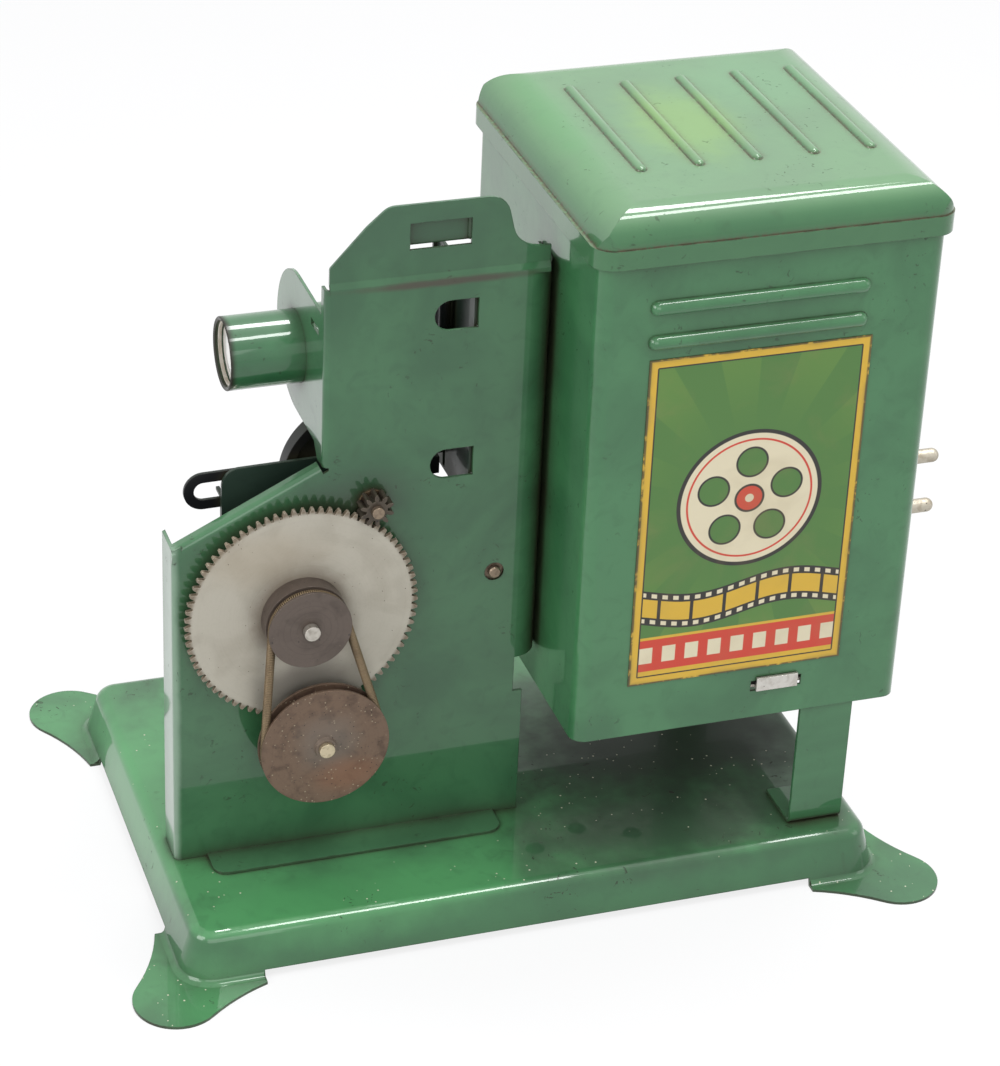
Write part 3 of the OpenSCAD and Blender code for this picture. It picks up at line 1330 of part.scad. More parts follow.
module inlet_block() {
    l = inlet_pitch + 20;
    color([0.30, 0.16, 0.10]) difference() {
        box([house_in_x1 - block_t, inlet_y - 11, inlet_z - 10],
            [house_in_x1 - seat, inlet_y + 11, inlet_z - 10 + l]);
        for (s = [0, 1])
            rod_x(house_in_x1 - block_t - 1, house_in_x1 + 1, inlet_y, inlet_z + s * inlet_pitch,
                inlet_seat_d);
    }
}

module inlet_pins() {
    x = house_in_x1 - block_t - inlet_in;
    color(brass) for (s = [0, 1]) translate([x, inlet_y, inlet_z + s * inlet_pitch])
        rotate([0, 90, 0]) rotate_extrude() {
            wall = inlet_in + block_t + house_sheet + 0.4;
            l = wall - 0.4 + inlet_out;
            r = inlet_d / 2;
            square([r, l - r]);
            intersection() {
                translate([0, l - r]) circle(r);
                translate([0, l - r]) square(r);
            }
            translate([0, inlet_in - 2]) square([inlet_seat_d / 2, wall - inlet_in + 2]);
            translate([0, inlet_in - 2.4]) square([r + 2, 2.4 - seat]);
        }
}

// Brass straps from the pins to the socket's terminals
module contact_straps() {
    y = inlet_y + 3.1;
    color(brass) for (s = [0, 1]) {
        z = inlet_z + s * inlet_pitch;
        zt = socket_z + 10 + s * 12;
        x = lamp_x + (s == 0 ? 3 : -8);
        difference() {
            box([strap_x0, inlet_y - 4, z - 4], [strap_x0 + strip_t, inlet_y + 4, z + 4]);
            rod_x(strap_x0 - 1, strap_x0 + 2, inlet_y, z, inlet_d + 2 * seat);
        }
        box([x, y, z - 2.5], [strap_x0 + strip_t, y + strip_t, z + 2.5]);
        box([x, y, zt - 2], [x + 5, y + strip_t, z + 2.5]);
        box([x, y, zt - 2], [x + 5, terminal_y, zt - 2 + strip_t]);
        box([x, terminal_y - strip_t, zt - 2], [x + 5, terminal_y, zt + 5]);
    }
}

base_pan();
tower_panel();
mechanism_plate();
bearing_bushes();
crank_shaft();
main_gear();
drive_pulley();
crank_arm();
handle_pin();
crank_handle();
pinion_shaft();
pinion();
flywheel();
eccentric();
claw_link();
takeup_shaft();
takeup_pulley();
reel_collar();
drive_belt();
lens_plate_sleeve();
lens_barrel();
front_lens();
rear_lens();
lens_ring();
film_gate();
gate_hinge_pin();
gate_door();
pressure_runners();
roller_stud();
guide_roller();
support_leg();
lamp_house();
lamp_house_lid();
lamp_house_floor();
label_sheet();
house_rivets();
condenser_mount();
condenser_lens();
reflector();
reflector_post();
lamp_stand();
lamp_socket();
lamp_cap();
lamp_glass();
lamp_filament();
inlet_block();
inlet_pins();
contact_straps();
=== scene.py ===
"""A hand-cranked toy film projector of green enamelled sheet steel, dressed for its picture.

Lengths are in metres. Names that end in mm are in millimetres, and so are the places and
reaches of patches and the drawing of the label. X runs along the base from the lens to the
lamp house, Y away from the gear side, and Z up from the table.
"""

import logging
import math
from dataclasses import dataclass
from enum import Enum
from typing import Any

import bpy
from mathutils import Matrix, Vector


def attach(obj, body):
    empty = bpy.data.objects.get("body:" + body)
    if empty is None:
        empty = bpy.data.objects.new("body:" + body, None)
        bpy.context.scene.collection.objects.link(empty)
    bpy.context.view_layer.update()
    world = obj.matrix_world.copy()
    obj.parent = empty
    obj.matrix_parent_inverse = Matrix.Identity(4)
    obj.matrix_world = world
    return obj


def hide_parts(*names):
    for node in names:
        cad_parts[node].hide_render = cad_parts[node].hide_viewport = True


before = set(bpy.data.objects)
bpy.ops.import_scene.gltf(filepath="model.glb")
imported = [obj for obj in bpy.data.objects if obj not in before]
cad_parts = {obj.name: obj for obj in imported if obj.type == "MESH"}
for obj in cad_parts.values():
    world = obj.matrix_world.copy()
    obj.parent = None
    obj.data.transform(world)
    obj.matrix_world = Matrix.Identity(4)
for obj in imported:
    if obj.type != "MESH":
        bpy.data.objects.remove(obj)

LOG = logging.getLogger("projector")
MM = 0.001
RAY_SAMPLES = 4
MIX_FACTOR, MIX_UNDER, MIX_OVER, MIX_COLOUR = 0, 6, 7, 2
Triple = tuple[float, float, float]
Pair = tuple[float, float]


class Rider(Enum):
    """The bodies that carry new pieces."""

    FRAME = "frame"


def scaled(colour: Triple, share: float) -> Triple:
    """A colour times a number, and no brighter than white."""
    return tuple(min(1.0, c * share) for c in colour)


class Sock:
    """A number or vector in a node tree, on which sums are written as Python expressions."""

    def __init__(self, graph: "Graph", socket: bpy.types.NodeSocket) -> None:
        """Wraps one output.

        Args:
            graph: the tree that the output is in.
            socket: the output itself.
        """
        self.graph = graph
        self.socket = socket

    def _sum(self, operation: str, *values: "Sock | float") -> "Sock":
        """Adds one Math node.

        Args:
            operation: the node's operation.
            values: its inputs in order.

        Returns:
            The node's result.
        """
        return self.graph.node("ShaderNodeMath", {"operation": operation}, dict(enumerate(values)))

    def __add__(self, other: "Sock | float") -> "Sock":
        """Sum."""
        return self._sum("ADD", self, other)

    __radd__ = __add__

    def __sub__(self, other: "Sock | float") -> "Sock":
        """Difference."""
        return self._sum("SUBTRACT", self, other)

    def __rsub__(self, other: float) -> "Sock":
        """Difference from a number."""
        return self._sum("SUBTRACT", other, self)

    def __mul__(self, other: "Sock | float") -> "Sock":
        """Product."""
        return self._sum("MULTIPLY", self, other)

    def __abs__(self) -> "Sock":
        """Size without its sign."""
        return self._sum("ABSOLUTE", self)

    def least(self, other: "Sock | float") -> "Sock":
        """The smaller of two."""
        return self._sum("MINIMUM", self, other)

    def most(self, other: "Sock | float") -> "Sock":
        """The larger of two."""
        return self._sum("MAXIMUM", self, other)

    def root(self) -> "Sock":
        """Square root."""
        return self._sum("SQRT", self)

    def sine(self) -> "Sock":
        """Sine of an angle in radians."""
        return self._sum("SINE", self)

    def turn(self, other: "Sock") -> "Sock":
        """Angle of the point (other, self) in radians."""
        return self._sum("ARCTAN2", self, other)

    def wave(self, pitch: float) -> "Sock":
        """Distance to the nearest whole multiple of a pitch."""
        return self._sum("PINGPONG", self, pitch / 2)

    def fade(self, low: float, high: float) -> "Sock":
        """Runs smoothly from 0 at low to 1 at high, or the other way if low is the larger.

        Args:
            low: the value that gives 0.
            high: the value that gives 1.

        Returns:
            The mask.
        """
        falls = low > high
        mask = self.graph.node(
            "ShaderNodeMapRange",
            {"interpolation_type": "SMOOTHSTEP"},
            {"Value": self, "From Min": min(low, high), "From Max": max(low, high)},
        )
        return 1 - mask if falls else mask


class Graph:
    """The nodes of one material or of the world."""

    def __init__(self, tree: bpy.types.NodeTree) -> None:
        """Empties a tree.

        Args:
            tree: the tree to fill.
        """
        self.tree = tree
        tree.nodes.clear()

    def plug(self, socket: bpy.types.NodeSocket, value: Any) -> None:
        """Links or sets one input.

        Args:
            socket: the input.
            value: a Sock, a number, or a tuple for a colour or vector.
        """
        if isinstance(value, Sock):
            self.tree.links.new(value.socket, socket)
        elif isinstance(value, tuple) and socket.type == "RGBA":
            socket.default_value = (*value, 1.0)
        else:
            socket.default_value = value

    def node(self, kind: str, settings: dict, values: dict, out: int | str = 0) -> Sock:
        """Adds any node.

        Args:
            kind: the node's type.
            settings: its properties.
            values: its inputs, by name or number.
            out: the output that is wanted.

        Returns:
            That output.
        """
        made = self.tree.nodes.new(kind)
        for key, value in settings.items():
            setattr(made, key, value)
        for key, value in values.items():
            self.plug(made.inputs[key], value)
        return Sock(self, made.outputs[out])

    def show(self, surface: Sock, kind: str) -> None:
        """Links a shader to a new output node of the kind named."""
        end = self.tree.nodes.new(kind)
        self.tree.links.new(surface.socket, end.inputs["Surface"])

    def place(self, scale: Triple = (1, 1, 1), shift: Triple = (0, 0, 0)) -> Sock:
        """The surface point on the object.

        Args:
            scale: stretch of the pattern along each axis.
            shift: what is added to it after that.

        Returns:
            The vector.
        """
        at = self.node("ShaderNodeTexCoord", {}, {}, "Object")
        if scale == (1, 1, 1) and shift == (0, 0, 0):
            return at
        values = {"Vector": at, "Scale": scale, "Location": shift}
        return self.node("ShaderNodeMapping", {}, values)

    def axes(self, at: Sock) -> tuple[Sock, Sock, Sock]:
        """Splits a vector.

        Args:
            at: the vector.

        Returns:
            Its three numbers.
        """
        first = self.node("ShaderNodeSeparateXYZ", {}, {0: at})
        outs = first.socket.node.outputs
        return first, Sock(self, outs[1]), Sock(self, outs[2])

    def noise(
        self, size_mm: float, detail: float = 3, at: Sock | None = None, warp: float = 0
    ) -> Sock:
        """Cloudy noise between about 0.2 and 0.8.

        Args:
            size_mm: width of one cloud.
            detail: how many finer layers it has.
            at: where it is read.
            warp: how much it is stirred.

        Returns:
            The noise.
        """
        values = {
            "Vector": at or self.place(),
            "Scale": 1 / (size_mm * MM),
            "Detail": detail,
            "Distortion": warp,
        }
        return self.node("ShaderNodeTexNoise", {}, values)

    def specks(self, pitch_mm: float, share: float, shift: float = 0.0) -> Sock:
        """Scattered round specks.

        Args:
            pitch_mm: how far apart they would lie if each place had one.
            share: radius of a speck as a share of the pitch.
            shift: moves the pattern, so that two differ.

        Returns:
            A mask that is 1 on a speck.
        """
        at = self.place(shift=(shift, shift, shift))
        values = {"Vector": at, "Scale": 1 / (pitch_mm * MM)}
        far = self.node("ShaderNodeTexVoronoi", {}, values)
        uneven = self.noise(pitch_mm * 0.4, 2)
        return (far + uneven * share - share * 0.5).fade(share * 1.1, share * 0.8)

    def edge(self, radius_mm: float) -> tuple[Sock, Sock]:
        """Softened normal, and a mask that is 1 along outside edges.

        Args:
            radius_mm: how far the softening reaches.

        Returns:
            The normal and the mask.
        """
        soft = self.node("ShaderNodeBevel", {"samples": RAY_SAMPLES}, {"Radius": radius_mm * MM})
        flat = self.node("ShaderNodeNewGeometry", {}, {}, "Normal")
        dot = {"operation": "DOT_PRODUCT"}
        same = self.node("ShaderNodeVectorMath", dot, {0: soft, 1: flat}, "Value")
        return soft, same.fade(0.995, 0.86)

    def hollow(self, reach_mm: float, deep: float = 0.30) -> Sock:
        """A mask that grows from 0 in the open to 1 in a corner.

        Args:
            reach_mm: how far from the corner it starts.
            deep: the openness, from 0 to 1, at which it is 1.

        Returns:
            The mask.
        """
        settings, reach = {"samples": RAY_SAMPLES}, {"Distance": reach_mm * MM}
        return self.node("ShaderNodeAmbientOcclusion", settings, reach, "AO").fade(0.95, deep)

    def shown(self) -> Sock:
        """What the camera sees, itself or in gloss or through glass.

        Returns:
            A mask that is 1 there.
        """
        path = self.node("ShaderNodeLightPath", {}, {}, "Is Camera Ray")
        outs = path.socket.node.outputs
        seen = path + Sock(self, outs["Is Glossy Ray"]) + Sock(self, outs["Is Transmission Ray"])
        return seen.least(1.0)

    def up(self) -> Sock:
        """How far the surface faces up, from -1 to 1."""
        return self.axes(self.node("ShaderNodeNewGeometry", {}, {}, "Normal"))[2]

    def spread(self, centre_mm: Pair) -> Sock:
        """Distance from an axis along Y, as a vector on which a noise makes rings.

        Args:
            centre_mm: the axis's place in X and Z.

        Returns:
            The vector, with the distance as its first number.
        """
        x, _, z = self.axes(self.place(shift=(-centre_mm[0] * MM, 0, -centre_mm[1] * MM)))
        return self.node("ShaderNodeCombineXYZ", {}, {0: (x * x + z * z).root()})

    def lay(self, mask: Sock | float, under: Any, over: Any) -> Sock:
        """Lays one colour over another.

        Args:
            mask: how much of the upper one shows.
            under: the lower colour.
            over: the upper colour.

        Returns:
            The colour.
        """
        values = {MIX_FACTOR: mask, MIX_UNDER: under, MIX_OVER: over}
        return self.node("ShaderNodeMix", {"data_type": "RGBA"}, values, MIX_COLOUR)

    def bump(self, height: Sock, depth_mm: float, normal: Sock | None = None) -> Sock:
        """Turns a height between 0 and 1 into a normal.

        Args:
            height: the height.
            depth_mm: what a height of 1 stands for.
            normal: the normal below it.

        Returns:
            The normal.
        """
        values = {"Height": height, "Distance": depth_mm * MM, "Strength": 1.0}
        if normal:
            values["Normal"] = normal
        return self.node("ShaderNodeBump", {}, values)


@dataclass(frozen=True)
class Patch:
    """A soft patch of its own colour at one place on a finish, for stains and also for painted
    light and painted shade.
    """

    centre_mm: Triple
    reach_mm: Triple
    colour: Triple
    strength: float
    dull: float = 0.0
    ragged: float = 0.5

    def mask(self, g: Graph) -> Sock:
        """Where the patch is.

        Args:
            g: the material's nodes.

        Returns:
            A mask from 0 to the patch's strength.
        """
        scale = tuple(1000 / r for r in self.reach_mm)
        shift = tuple(-c / r for c, r in zip(self.centre_mm, self.reach_mm))
        length = {"operation": "LENGTH"}
        far = g.node("ShaderNodeVectorMath", length, {0: g.place(scale, shift)}, "Value")
        uneven = far + g.noise(9, 4) * self.ragged - self.ragged / 2
        return uneven.fade(1.0, 0.25) * self.strength


@dataclass(frozen=True)
class Finish:
    """What every finish has."""

    name: str

    def coat(self, g: Graph) -> dict:
        """Gives the shader's inputs.

        Args:
            g: the material's nodes.

        Returns:
            The inputs by name.
        """
        raise NotImplementedError

    def make(self) -> bpy.types.Material:
        """Builds the material.

        Returns:
            The material.
        """
        material = bpy.data.materials.new(self.name)
        material.use_nodes = True
        g = Graph(material.node_tree)
        skin = g.node("ShaderNodeBsdfPrincipled", {}, self.coat(g))
        g.show(skin, "ShaderNodeOutputMaterial")
        return material


@dataclass(frozen=True)
class Enamel(Finish):
    """Glossy stove enamel on sheet steel, with grime and painted shade in its corners, painted
    shade on its sides where asked, and chips on its edges.
    """

    paint: Triple = (0.054, 0.200, 0.080)
    deep: Triple = (0.034, 0.140, 0.055)
    pale: Triple = (0.30, 0.42, 0.27)
    grime_and_shade: Triple = (0.030, 0.028, 0.015)
    chip: Triple = (0.022, 0.018, 0.014)
    rust: Triple = (0.085, 0.070, 0.038)
    dust: Triple = (0.70, 0.68, 0.52)
    film_share: float = 0.05
    corner_grime_and_shade_mm: Pair = (11.0, 3.5)
    grime_and_shade_share: float = 0.75
    chip_share: float = 0.5
    edge_wear: float = 0.7
    dust_mm: float = 3.4
    dust_share: float = 0.0
    side_shade_share: float = 0.0
    crease_mm: float = 2.6
    crease_share: float = 0.0
    roughness: float = 0.34
    gloss: float = 0.95
    ripple_mm: float = 0.012
    patches: tuple[Patch, ...] = ()

    def coat(self, g: Graph) -> dict:
        """Gives the shader's inputs.

        Args:
            g: the material's nodes.

        Returns:
            The inputs by name.
        """
        normal, edge = g.edge(0.5)
        clouds, blots = g.noise(40, 4, warp=0.5), g.noise(7, 5, warp=0.9)
        fine, swell = g.noise(1.6, 4), g.noise(9, 2)
        colour = g.lay(clouds.fade(0.38, 0.68), self.paint, self.deep)
        colour = g.lay(blots.fade(0.48, 0.75) * 0.45, colour, self.deep)
        # Painted shade: faces that do not face up are laid darker, towards the deep colour.
        if self.side_shade_share > 0:
            colour = g.lay(g.up().fade(0.85, 0.45) * self.side_shade_share, colour, self.deep)
        film = g.up().fade(0.3, 0.95) * (0.5 + clouds) * self.film_share
        colour = g.lay(film.least(1.0), colour, self.pale)
        gloss = self.gloss
        # Patches lay stains and also painted light and painted shade, each in its own colour.
        for patch in self.patches:
            stain_and_painted_light = patch.mask(g)
            colour = g.lay(stain_and_painted_light, colour, patch.colour)
            if patch.dull > 0:
                gloss = gloss - stain_and_painted_light * patch.dull
        # Grime and painted shade: the colour darkens in corners and hollows from ambient
        # occlusion, with smears of real dirt on top; dirt carries both.
        wide, narrow = self.corner_grime_and_shade_mm
        corner_grime_and_shade = g.hollow(wide) * (0.25 + clouds * 0.9) + g.hollow(narrow) * 0.45
        smears = blots.fade(0.60, 0.78) * clouds.fade(0.48, 0.7) * 0.30
        dirt = ((corner_grime_and_shade + smears) * self.grime_and_shade_share).least(0.92)
        colour = g.lay(dirt, colour, self.grime_and_shade)
        if self.crease_share > 0:
            crease = g.hollow(self.crease_mm, 0.78) * fine.fade(0.30, 0.55)
            colour = g.lay(crease * self.crease_share, colour, self.rust)
        flakes = g.noise(2.6, 4, warp=1.2).fade(0.655, 0.68) * g.noise(21, 2).fade(0.50, 0.62)
        chips = flakes * self.chip_share
        worn = (edge * blots.fade(0.46, 0.56) * self.edge_wear).most(chips)
        colour = g.lay(worn, colour, self.chip)
        if self.dust_share > 0:
            lies = g.noise(24, 2).fade(0.46, 0.56) * g.up().fade(0.4, 0.9)
            crumbs = g.specks(self.dust_mm, self.dust_share, 0.37) * lies
            colour = g.lay(crumbs * 0.9, colour, self.dust)
        return {
            "Base Color": colour,
            "Roughness": (self.roughness + dirt * 0.3 + worn * 0.35 + film * 0.5).least(0.85),
            "Specular IOR Level": 0.2,
            "Coat Weight": (gloss - dirt * 0.45 - worn * 0.6 - film * 0.5).most(0.0),
            "Coat Roughness": 0.035,
            "Normal": g.bump(fine, self.ripple_mm, g.bump(swell - worn * 0.8, 0.05, normal)),
        }


@dataclass(frozen=True)
class Metal(Finish):
    """Bare metal that has dulled, with stains, grime and painted shade in its hollows, and small
    pits.
    """

    colour: Triple = (0.50, 0.48, 0.44)
    stain_and_painted_light: Triple = (0.20, 0.16, 0.11)
    stain_share: float = 0.3
    stain_mm: float = 12.0
    pit_share: float = 0.08
    pit_pitch_mm: float = 4.0
    metallic: float = 0.8
    roughness: float = 0.42
    grain_mm: float = 0.35
    edge_mm: float = 0.25
    edge_shine: float = 0.4
    hollow_grime_and_shade_mm: float = 5.0
    hollow_grime_and_shade_share: float = 0.5
    crumb: Triple = (0.38, 0.31, 0.215)
    crumb_mm: float = 1.6
    crumb_share: float = 0.0
    axis_mm: Pair | None = None
    lathe_mm: float = 0.8
    lathe_share: float = 0.22
    rim_mm: float = 0.0
    rim_width_mm: float = 1.6
    patches: tuple[Patch, ...] = ()

    def coat(self, g: Graph) -> dict:
        """Gives the shader's inputs.

        Args:
            g: the material's nodes.

        Returns:
            The inputs by name.
        """
        normal, edge = g.edge(self.edge_mm)
        clouds = g.noise(self.stain_mm, 5, warp=0.6)
        fine = g.noise(self.grain_mm * 3, 3)
        stain_and_painted_light = (clouds.fade(0.44, 0.72) * 0.8 + fine.fade(0.5, 0.8) * 0.35) * self.stain_share
        # Grime and painted shade: the stain colour deepens in hollows and corners.
        stain_and_painted_light = stain_and_painted_light + g.hollow(self.hollow_grime_and_shade_mm) * self.hollow_grime_and_shade_share
        height = fine * 0.5
        if self.axis_mm:
            marks = g.noise(self.lathe_mm, 2, g.spread(self.axis_mm))
            stain_and_painted_light = stain_and_painted_light + marks.fade(0.50, 0.66) * self.lathe_share
            height = height + marks * self.lathe_share * 4
        if self.axis_mm and self.rim_mm > 0:
            far = g.axes(g.spread(self.axis_mm))[0]
            rim = far.fade((self.rim_mm - self.rim_width_mm) * MM, self.rim_mm * MM)
            stain_and_painted_light = stain_and_painted_light + rim * (0.55 + fine * 0.5)
        colour = g.lay(stain_and_painted_light.least(1.0), self.colour, self.stain_and_painted_light)
        for patch in self.patches:
            colour = g.lay(patch.mask(g), colour, patch.colour)
        pits = g.specks(self.pit_pitch_mm, self.pit_share, 0.11) * clouds.fade(0.35, 0.5)
        colour = g.lay(pits, colour, scaled(self.stain_and_painted_light, 0.25))
        if self.crumb_share > 0:
            crumbs = g.specks(self.crumb_mm, self.crumb_share, 0.23) * clouds.fade(0.38, 0.56)
            colour = g.lay(crumbs * 0.8, colour, self.crumb)
        shine = edge * self.edge_shine * (0.5 + fine)
        colour = g.lay(shine, colour, scaled(self.colour, 1.6))
        return {
            "Base Color": colour,
            "Metallic": (self.metallic - stain_and_painted_light * 0.35 - pits * 0.5).most(0.0),
            "Roughness": (self.roughness + stain_and_painted_light * 0.22 - edge * 0.08).least(0.9),
            "Normal": g.bump(height - pits, 0.03, normal),
        }


@dataclass(frozen=True)
class Clear(Finish):
    """Glass with a thin film of dust."""

    colour: Triple = (0.93, 0.95, 0.94)
    film: Triple = (0.75, 0.72, 0.65)
    dust: float = 0.12
    transmission: float = 1.0
    ior: float = 1.5

    def coat(self, g: Graph) -> dict:
        """Gives the shader's inputs.

        Args:
            g: the material's nodes.

        Returns:
            The inputs by name.
        """
        thin = g.noise(5, 4).fade(0.4, 0.8) * self.dust
        return {
            "Base Color": g.lay(thin, self.colour, self.film),
            "Roughness": 0.02 + thin * 0.5,
            "Transmission Weight": self.transmission,
            "IOR": self.ior,
        }


@dataclass(frozen=True)
class Solid(Finish):
    """Plain painted, glazed or moulded stuff with a mottled surface."""

    colour: Triple = (0.5, 0.5, 0.5)
    shade: Triple = (0.3, 0.3, 0.3)
    size_mm: float = 3.0
    stretch: Triple = (1, 1, 1)
    roughness: float = 0.4
    gloss: float = 0.0
    wear: Triple = (0.1, 0.08, 0.06)
    wear_share: float = 0.3

    def coat(self, g: Graph) -> dict:
        """Gives the shader's inputs.

        Args:
            g: the material's nodes.

        Returns:
            The inputs by name.
        """
        normal, edge = g.edge(0.3)
        grain = g.noise(self.size_mm, 4, g.place(self.stretch))
        colour = g.lay(grain.fade(0.35, 0.7), self.colour, self.shade)
        worn = edge * grain.fade(0.42, 0.6) * self.wear_share
        colour = g.lay(worn, colour, self.wear)
        # Painted shade: darker in hollows.
        colour = g.lay(g.hollow(4) * 0.5, colour, scaled(self.shade, 0.3))
        return {
            "Base Color": colour,
            "Roughness": self.roughness + grain * 0.12 + worn * 0.2,
            "Coat Weight": (self.gloss - worn * 0.5).most(0.0),
            "Coat Roughness": 0.08,
            "Normal": g.bump(grain, 0.03, normal),
        }


@dataclass(frozen=True)
class PrintedLabel(Finish):
    """A printed paper label: a yellow border, a green field with a film reel, and a red band."""

    centre_mm: Pair = (66.55, 145.0)
    half_mm: Pair = (37.5, 60.0)
    border_mm: float = 3.0
    line_mm: float = 0.25
    band_mm: Pair = (-55.0, -43.0)
    band_holes_mm: Triple = (8.0, 2.3, 3.0)
    reel_z_mm: float = 6.0
    rays: int = 12
    rays_mm: Pair = (22.0, 60.0)
    reel_mm: Triple = (25.0, 23.6, 21.4)
    ring_half_mm: float = 0.35
    openings: int = 5
    openings_mm: Triple = (13.2, 5.6, 4.9)
    hub_mm: Triple = (5.2, 4.4, 1.5)
    strip_z_mm: float = -31.0
    strip_wave: Pair = (0.1, 2.6)
    strip_half_mm: Pair = (6.4, 3.4)
    strip_reach_mm: float = 34.3
    picture_mm: Pair = (11.4, 5.1)
    sprocket_row_mm: float = 4.9
    sprocket_mm: Triple = (3.8, 0.95, 0.75)
    soft_mm: float = 0.12
    yellow: Triple = (0.70, 0.44, 0.045)
    green: Triple = (0.075, 0.19, 0.042)
    red: Triple = (0.62, 0.055, 0.03)
    cream: Triple = (0.78, 0.70, 0.50)
    ink: Triple = (0.014, 0.012, 0.010)
    ray: Triple = (0.14, 0.27, 0.05)
    tan: Triple = (0.30, 0.22, 0.10)
    brown: Triple = (0.12, 0.09, 0.04)
    dirt: Triple = (0.020, 0.028, 0.016)

    def _disc(self, x: Sock, z: Sock, r: float) -> Sock:
        """A mask that is 1 inside a circle of radius r round the origin."""
        return (x * x + z * z).root().fade(r + self.soft_mm, r - self.soft_mm)

    def _bar(self, x: Sock | float, half: float) -> Sock:
        """A mask that is 1 where the size of x is below half."""
        return abs(x).fade(half + self.soft_mm, half - self.soft_mm)

    def coat(self, g: Graph) -> dict:
        """Gives the shader's inputs.

        Args:
            g: the material's nodes.

        Returns:
            The inputs by name.
        """
        shift = (-self.centre_mm[0], 0, -self.centre_mm[1])
        x, _, z = g.axes(g.place((1000, 1000, 1000), shift))
        side, end = self.half_mm
        wide, tall = side - self.border_mm, end - self.border_mm
        low, high = self.band_mm
        middle, sill = (low + high) / 2, high + 1
        reel_z = z - self.reel_z_mm
        inner = self._bar(x, wide)
        field_mask = inner * self._bar(z - (tall + sill) / 2, (tall - sill) / 2)
        rays = (reel_z.turn(x) * self.rays).sine().fade(-0.06, 0.06)
        far = (x * x + reel_z * reel_z).root()
        ground = g.lay(rays * far.fade(*self.rays_mm) * 0.55, self.green, self.ray)
        colour = g.lay(field_mask, self.yellow, ground)
        band = inner * self._bar(z - middle, (high - low) / 2)
        colour = g.lay(band, colour, self.red)
        pitch, across, up = self.band_holes_mm
        holes = self._bar(x.wave(pitch), across) * self._bar(z - middle, up)
        colour = g.lay(band * holes, colour, self.cream)
        colour = self._reel(g, colour, x, reel_z)
        colour = self._strip(g, colour, x, z - self.strip_z_mm)
        sides = self._bar(abs(x) - wide, self.line_mm) * self._bar(z, tall)
        ends = self._bar(abs(z) - tall, self.line_mm) * inner
        colour = g.lay(sides.most(ends), colour, self.ink)
        worn, paper = g.noise(16, 5, warp=0.5), g.noise(0.5, 3)
        colour = g.lay(worn.fade(0.45, 0.8) * 0.22, colour, self.tan)
        near_rim = abs(x).fade(side - 2, side).most(abs(z).fade(end - 2, end))
        colour = g.lay(near_rim * worn.fade(0.35, 0.6) * 0.45, colour, self.brown)
        outside = abs(x).fade(side - 1, side - 0.4).most(abs(z).fade(end - 0.8, end - 0.3))
        frayed = outside * g.noise(3, 4).fade(0.30, 0.48)
        colour = g.lay(frayed * 0.85, colour, self.dirt)
        return {
            "Base Color": colour,
            "Roughness": 0.42 + worn * 0.15,
            "Coat Weight": 0.18,
            "Coat Roughness": 0.2,
            "Normal": g.bump(paper * 0.5 + worn, 0.04),
        }

    def _reel(self, g: Graph, colour: Sock, x: Sock, z: Sock) -> Sock:
        """Prints the reel in the middle of the field.

        Args:
            g: the material's nodes.
            colour: what is below it.
            x: place across, from its centre.
            z: place up, from its centre.

        Returns:
            The colour with the reel on it.
        """
        edge, face, ring = self.reel_mm
        colour = g.lay(self._disc(x, z, edge), colour, self.ink)
        colour = g.lay(self._disc(x, z, face), colour, self.cream)
        far = (x * x + z * z).root()
        colour = g.lay(self._bar(far - ring, self.ring_half_mm), colour, self.red)
        circle, outline, hole = self.openings_mm
        for k in range(self.openings):
            angle = math.radians(90 + 360 / self.openings * k)
            dx, dz = x - circle * math.cos(angle), z - circle * math.sin(angle)
            colour = g.lay(self._disc(dx, dz, outline), colour, self.ink)
            colour = g.lay(self._disc(dx, dz, hole), colour, self.green)
        for r, tone in zip(self.hub_mm, (self.ink, self.red, self.cream)):
            colour = g.lay(self._disc(x, z, r), colour, tone)
        return colour

    def _strip(self, g: Graph, colour: Sock, x: Sock, z: Sock) -> Sock:
        """Prints a wavy strip of film below the reel.

        Args:
            g: the material's nodes.
            colour: what is below it.
            x: place across.
            z: place up, from the strip's middle.

        Returns:
            The colour with the strip on it.
        """
        turns, swing = self.strip_wave
        rise = z - (x * turns).sine() * swing
        inside = self._bar(x, self.strip_reach_mm)
        strip, window = self.strip_half_mm
        pitch, half = self.picture_mm
        colour = g.lay(self._bar(rise, strip) * inside, colour, self.ink)
        pictures = self._bar(rise, window) * self._bar(x.wave(pitch), half)
        colour = g.lay(pictures * inside, colour, self.yellow)
        pitch, across, up = self.sprocket_mm
        rows = self._bar(abs(rise) - self.sprocket_row_mm, up)
        holes = rows * self._bar(x.wave(pitch), across)
        return g.lay(holes * inside, colour, self.cream)


def clear_selection() -> None:
    """Selects nothing, so that an operator acts only on what is made next."""
    for thing in bpy.context.selected_objects:
        thing.select_set(False)
    bpy.context.view_layer.objects.active = None


def dress(material: bpy.types.Material, *nodes: str) -> None:
    """Gives CAD nodes a material.

    Args:
        material: the finish.
        nodes: the nodes' names.
    """
    for name in nodes:
        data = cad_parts[name].data
        if not data.materials:
            data.materials.append(material)
        for i in range(len(data.materials)):
            data.materials[i] = material
        LOG.info("%s wears %s", name, material.name)


def settle(piece: bpy.types.Object, material: bpy.types.Material, rider: Rider) -> None:
    """Finishes a new piece: its place goes into its mesh, and it rides on its body.

    Args:
        piece: the piece.
        material: its finish.
        rider: the body that carries it.
    """
    piece.data.transform(piece.matrix_world)
    piece.matrix_world = Matrix.Identity(4)
    piece.data.materials.clear()
    piece.data.materials.append(material)
    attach(piece, rider.value)
    LOG.info("made %s with %d faces", piece.name, len(piece.data.polygons))


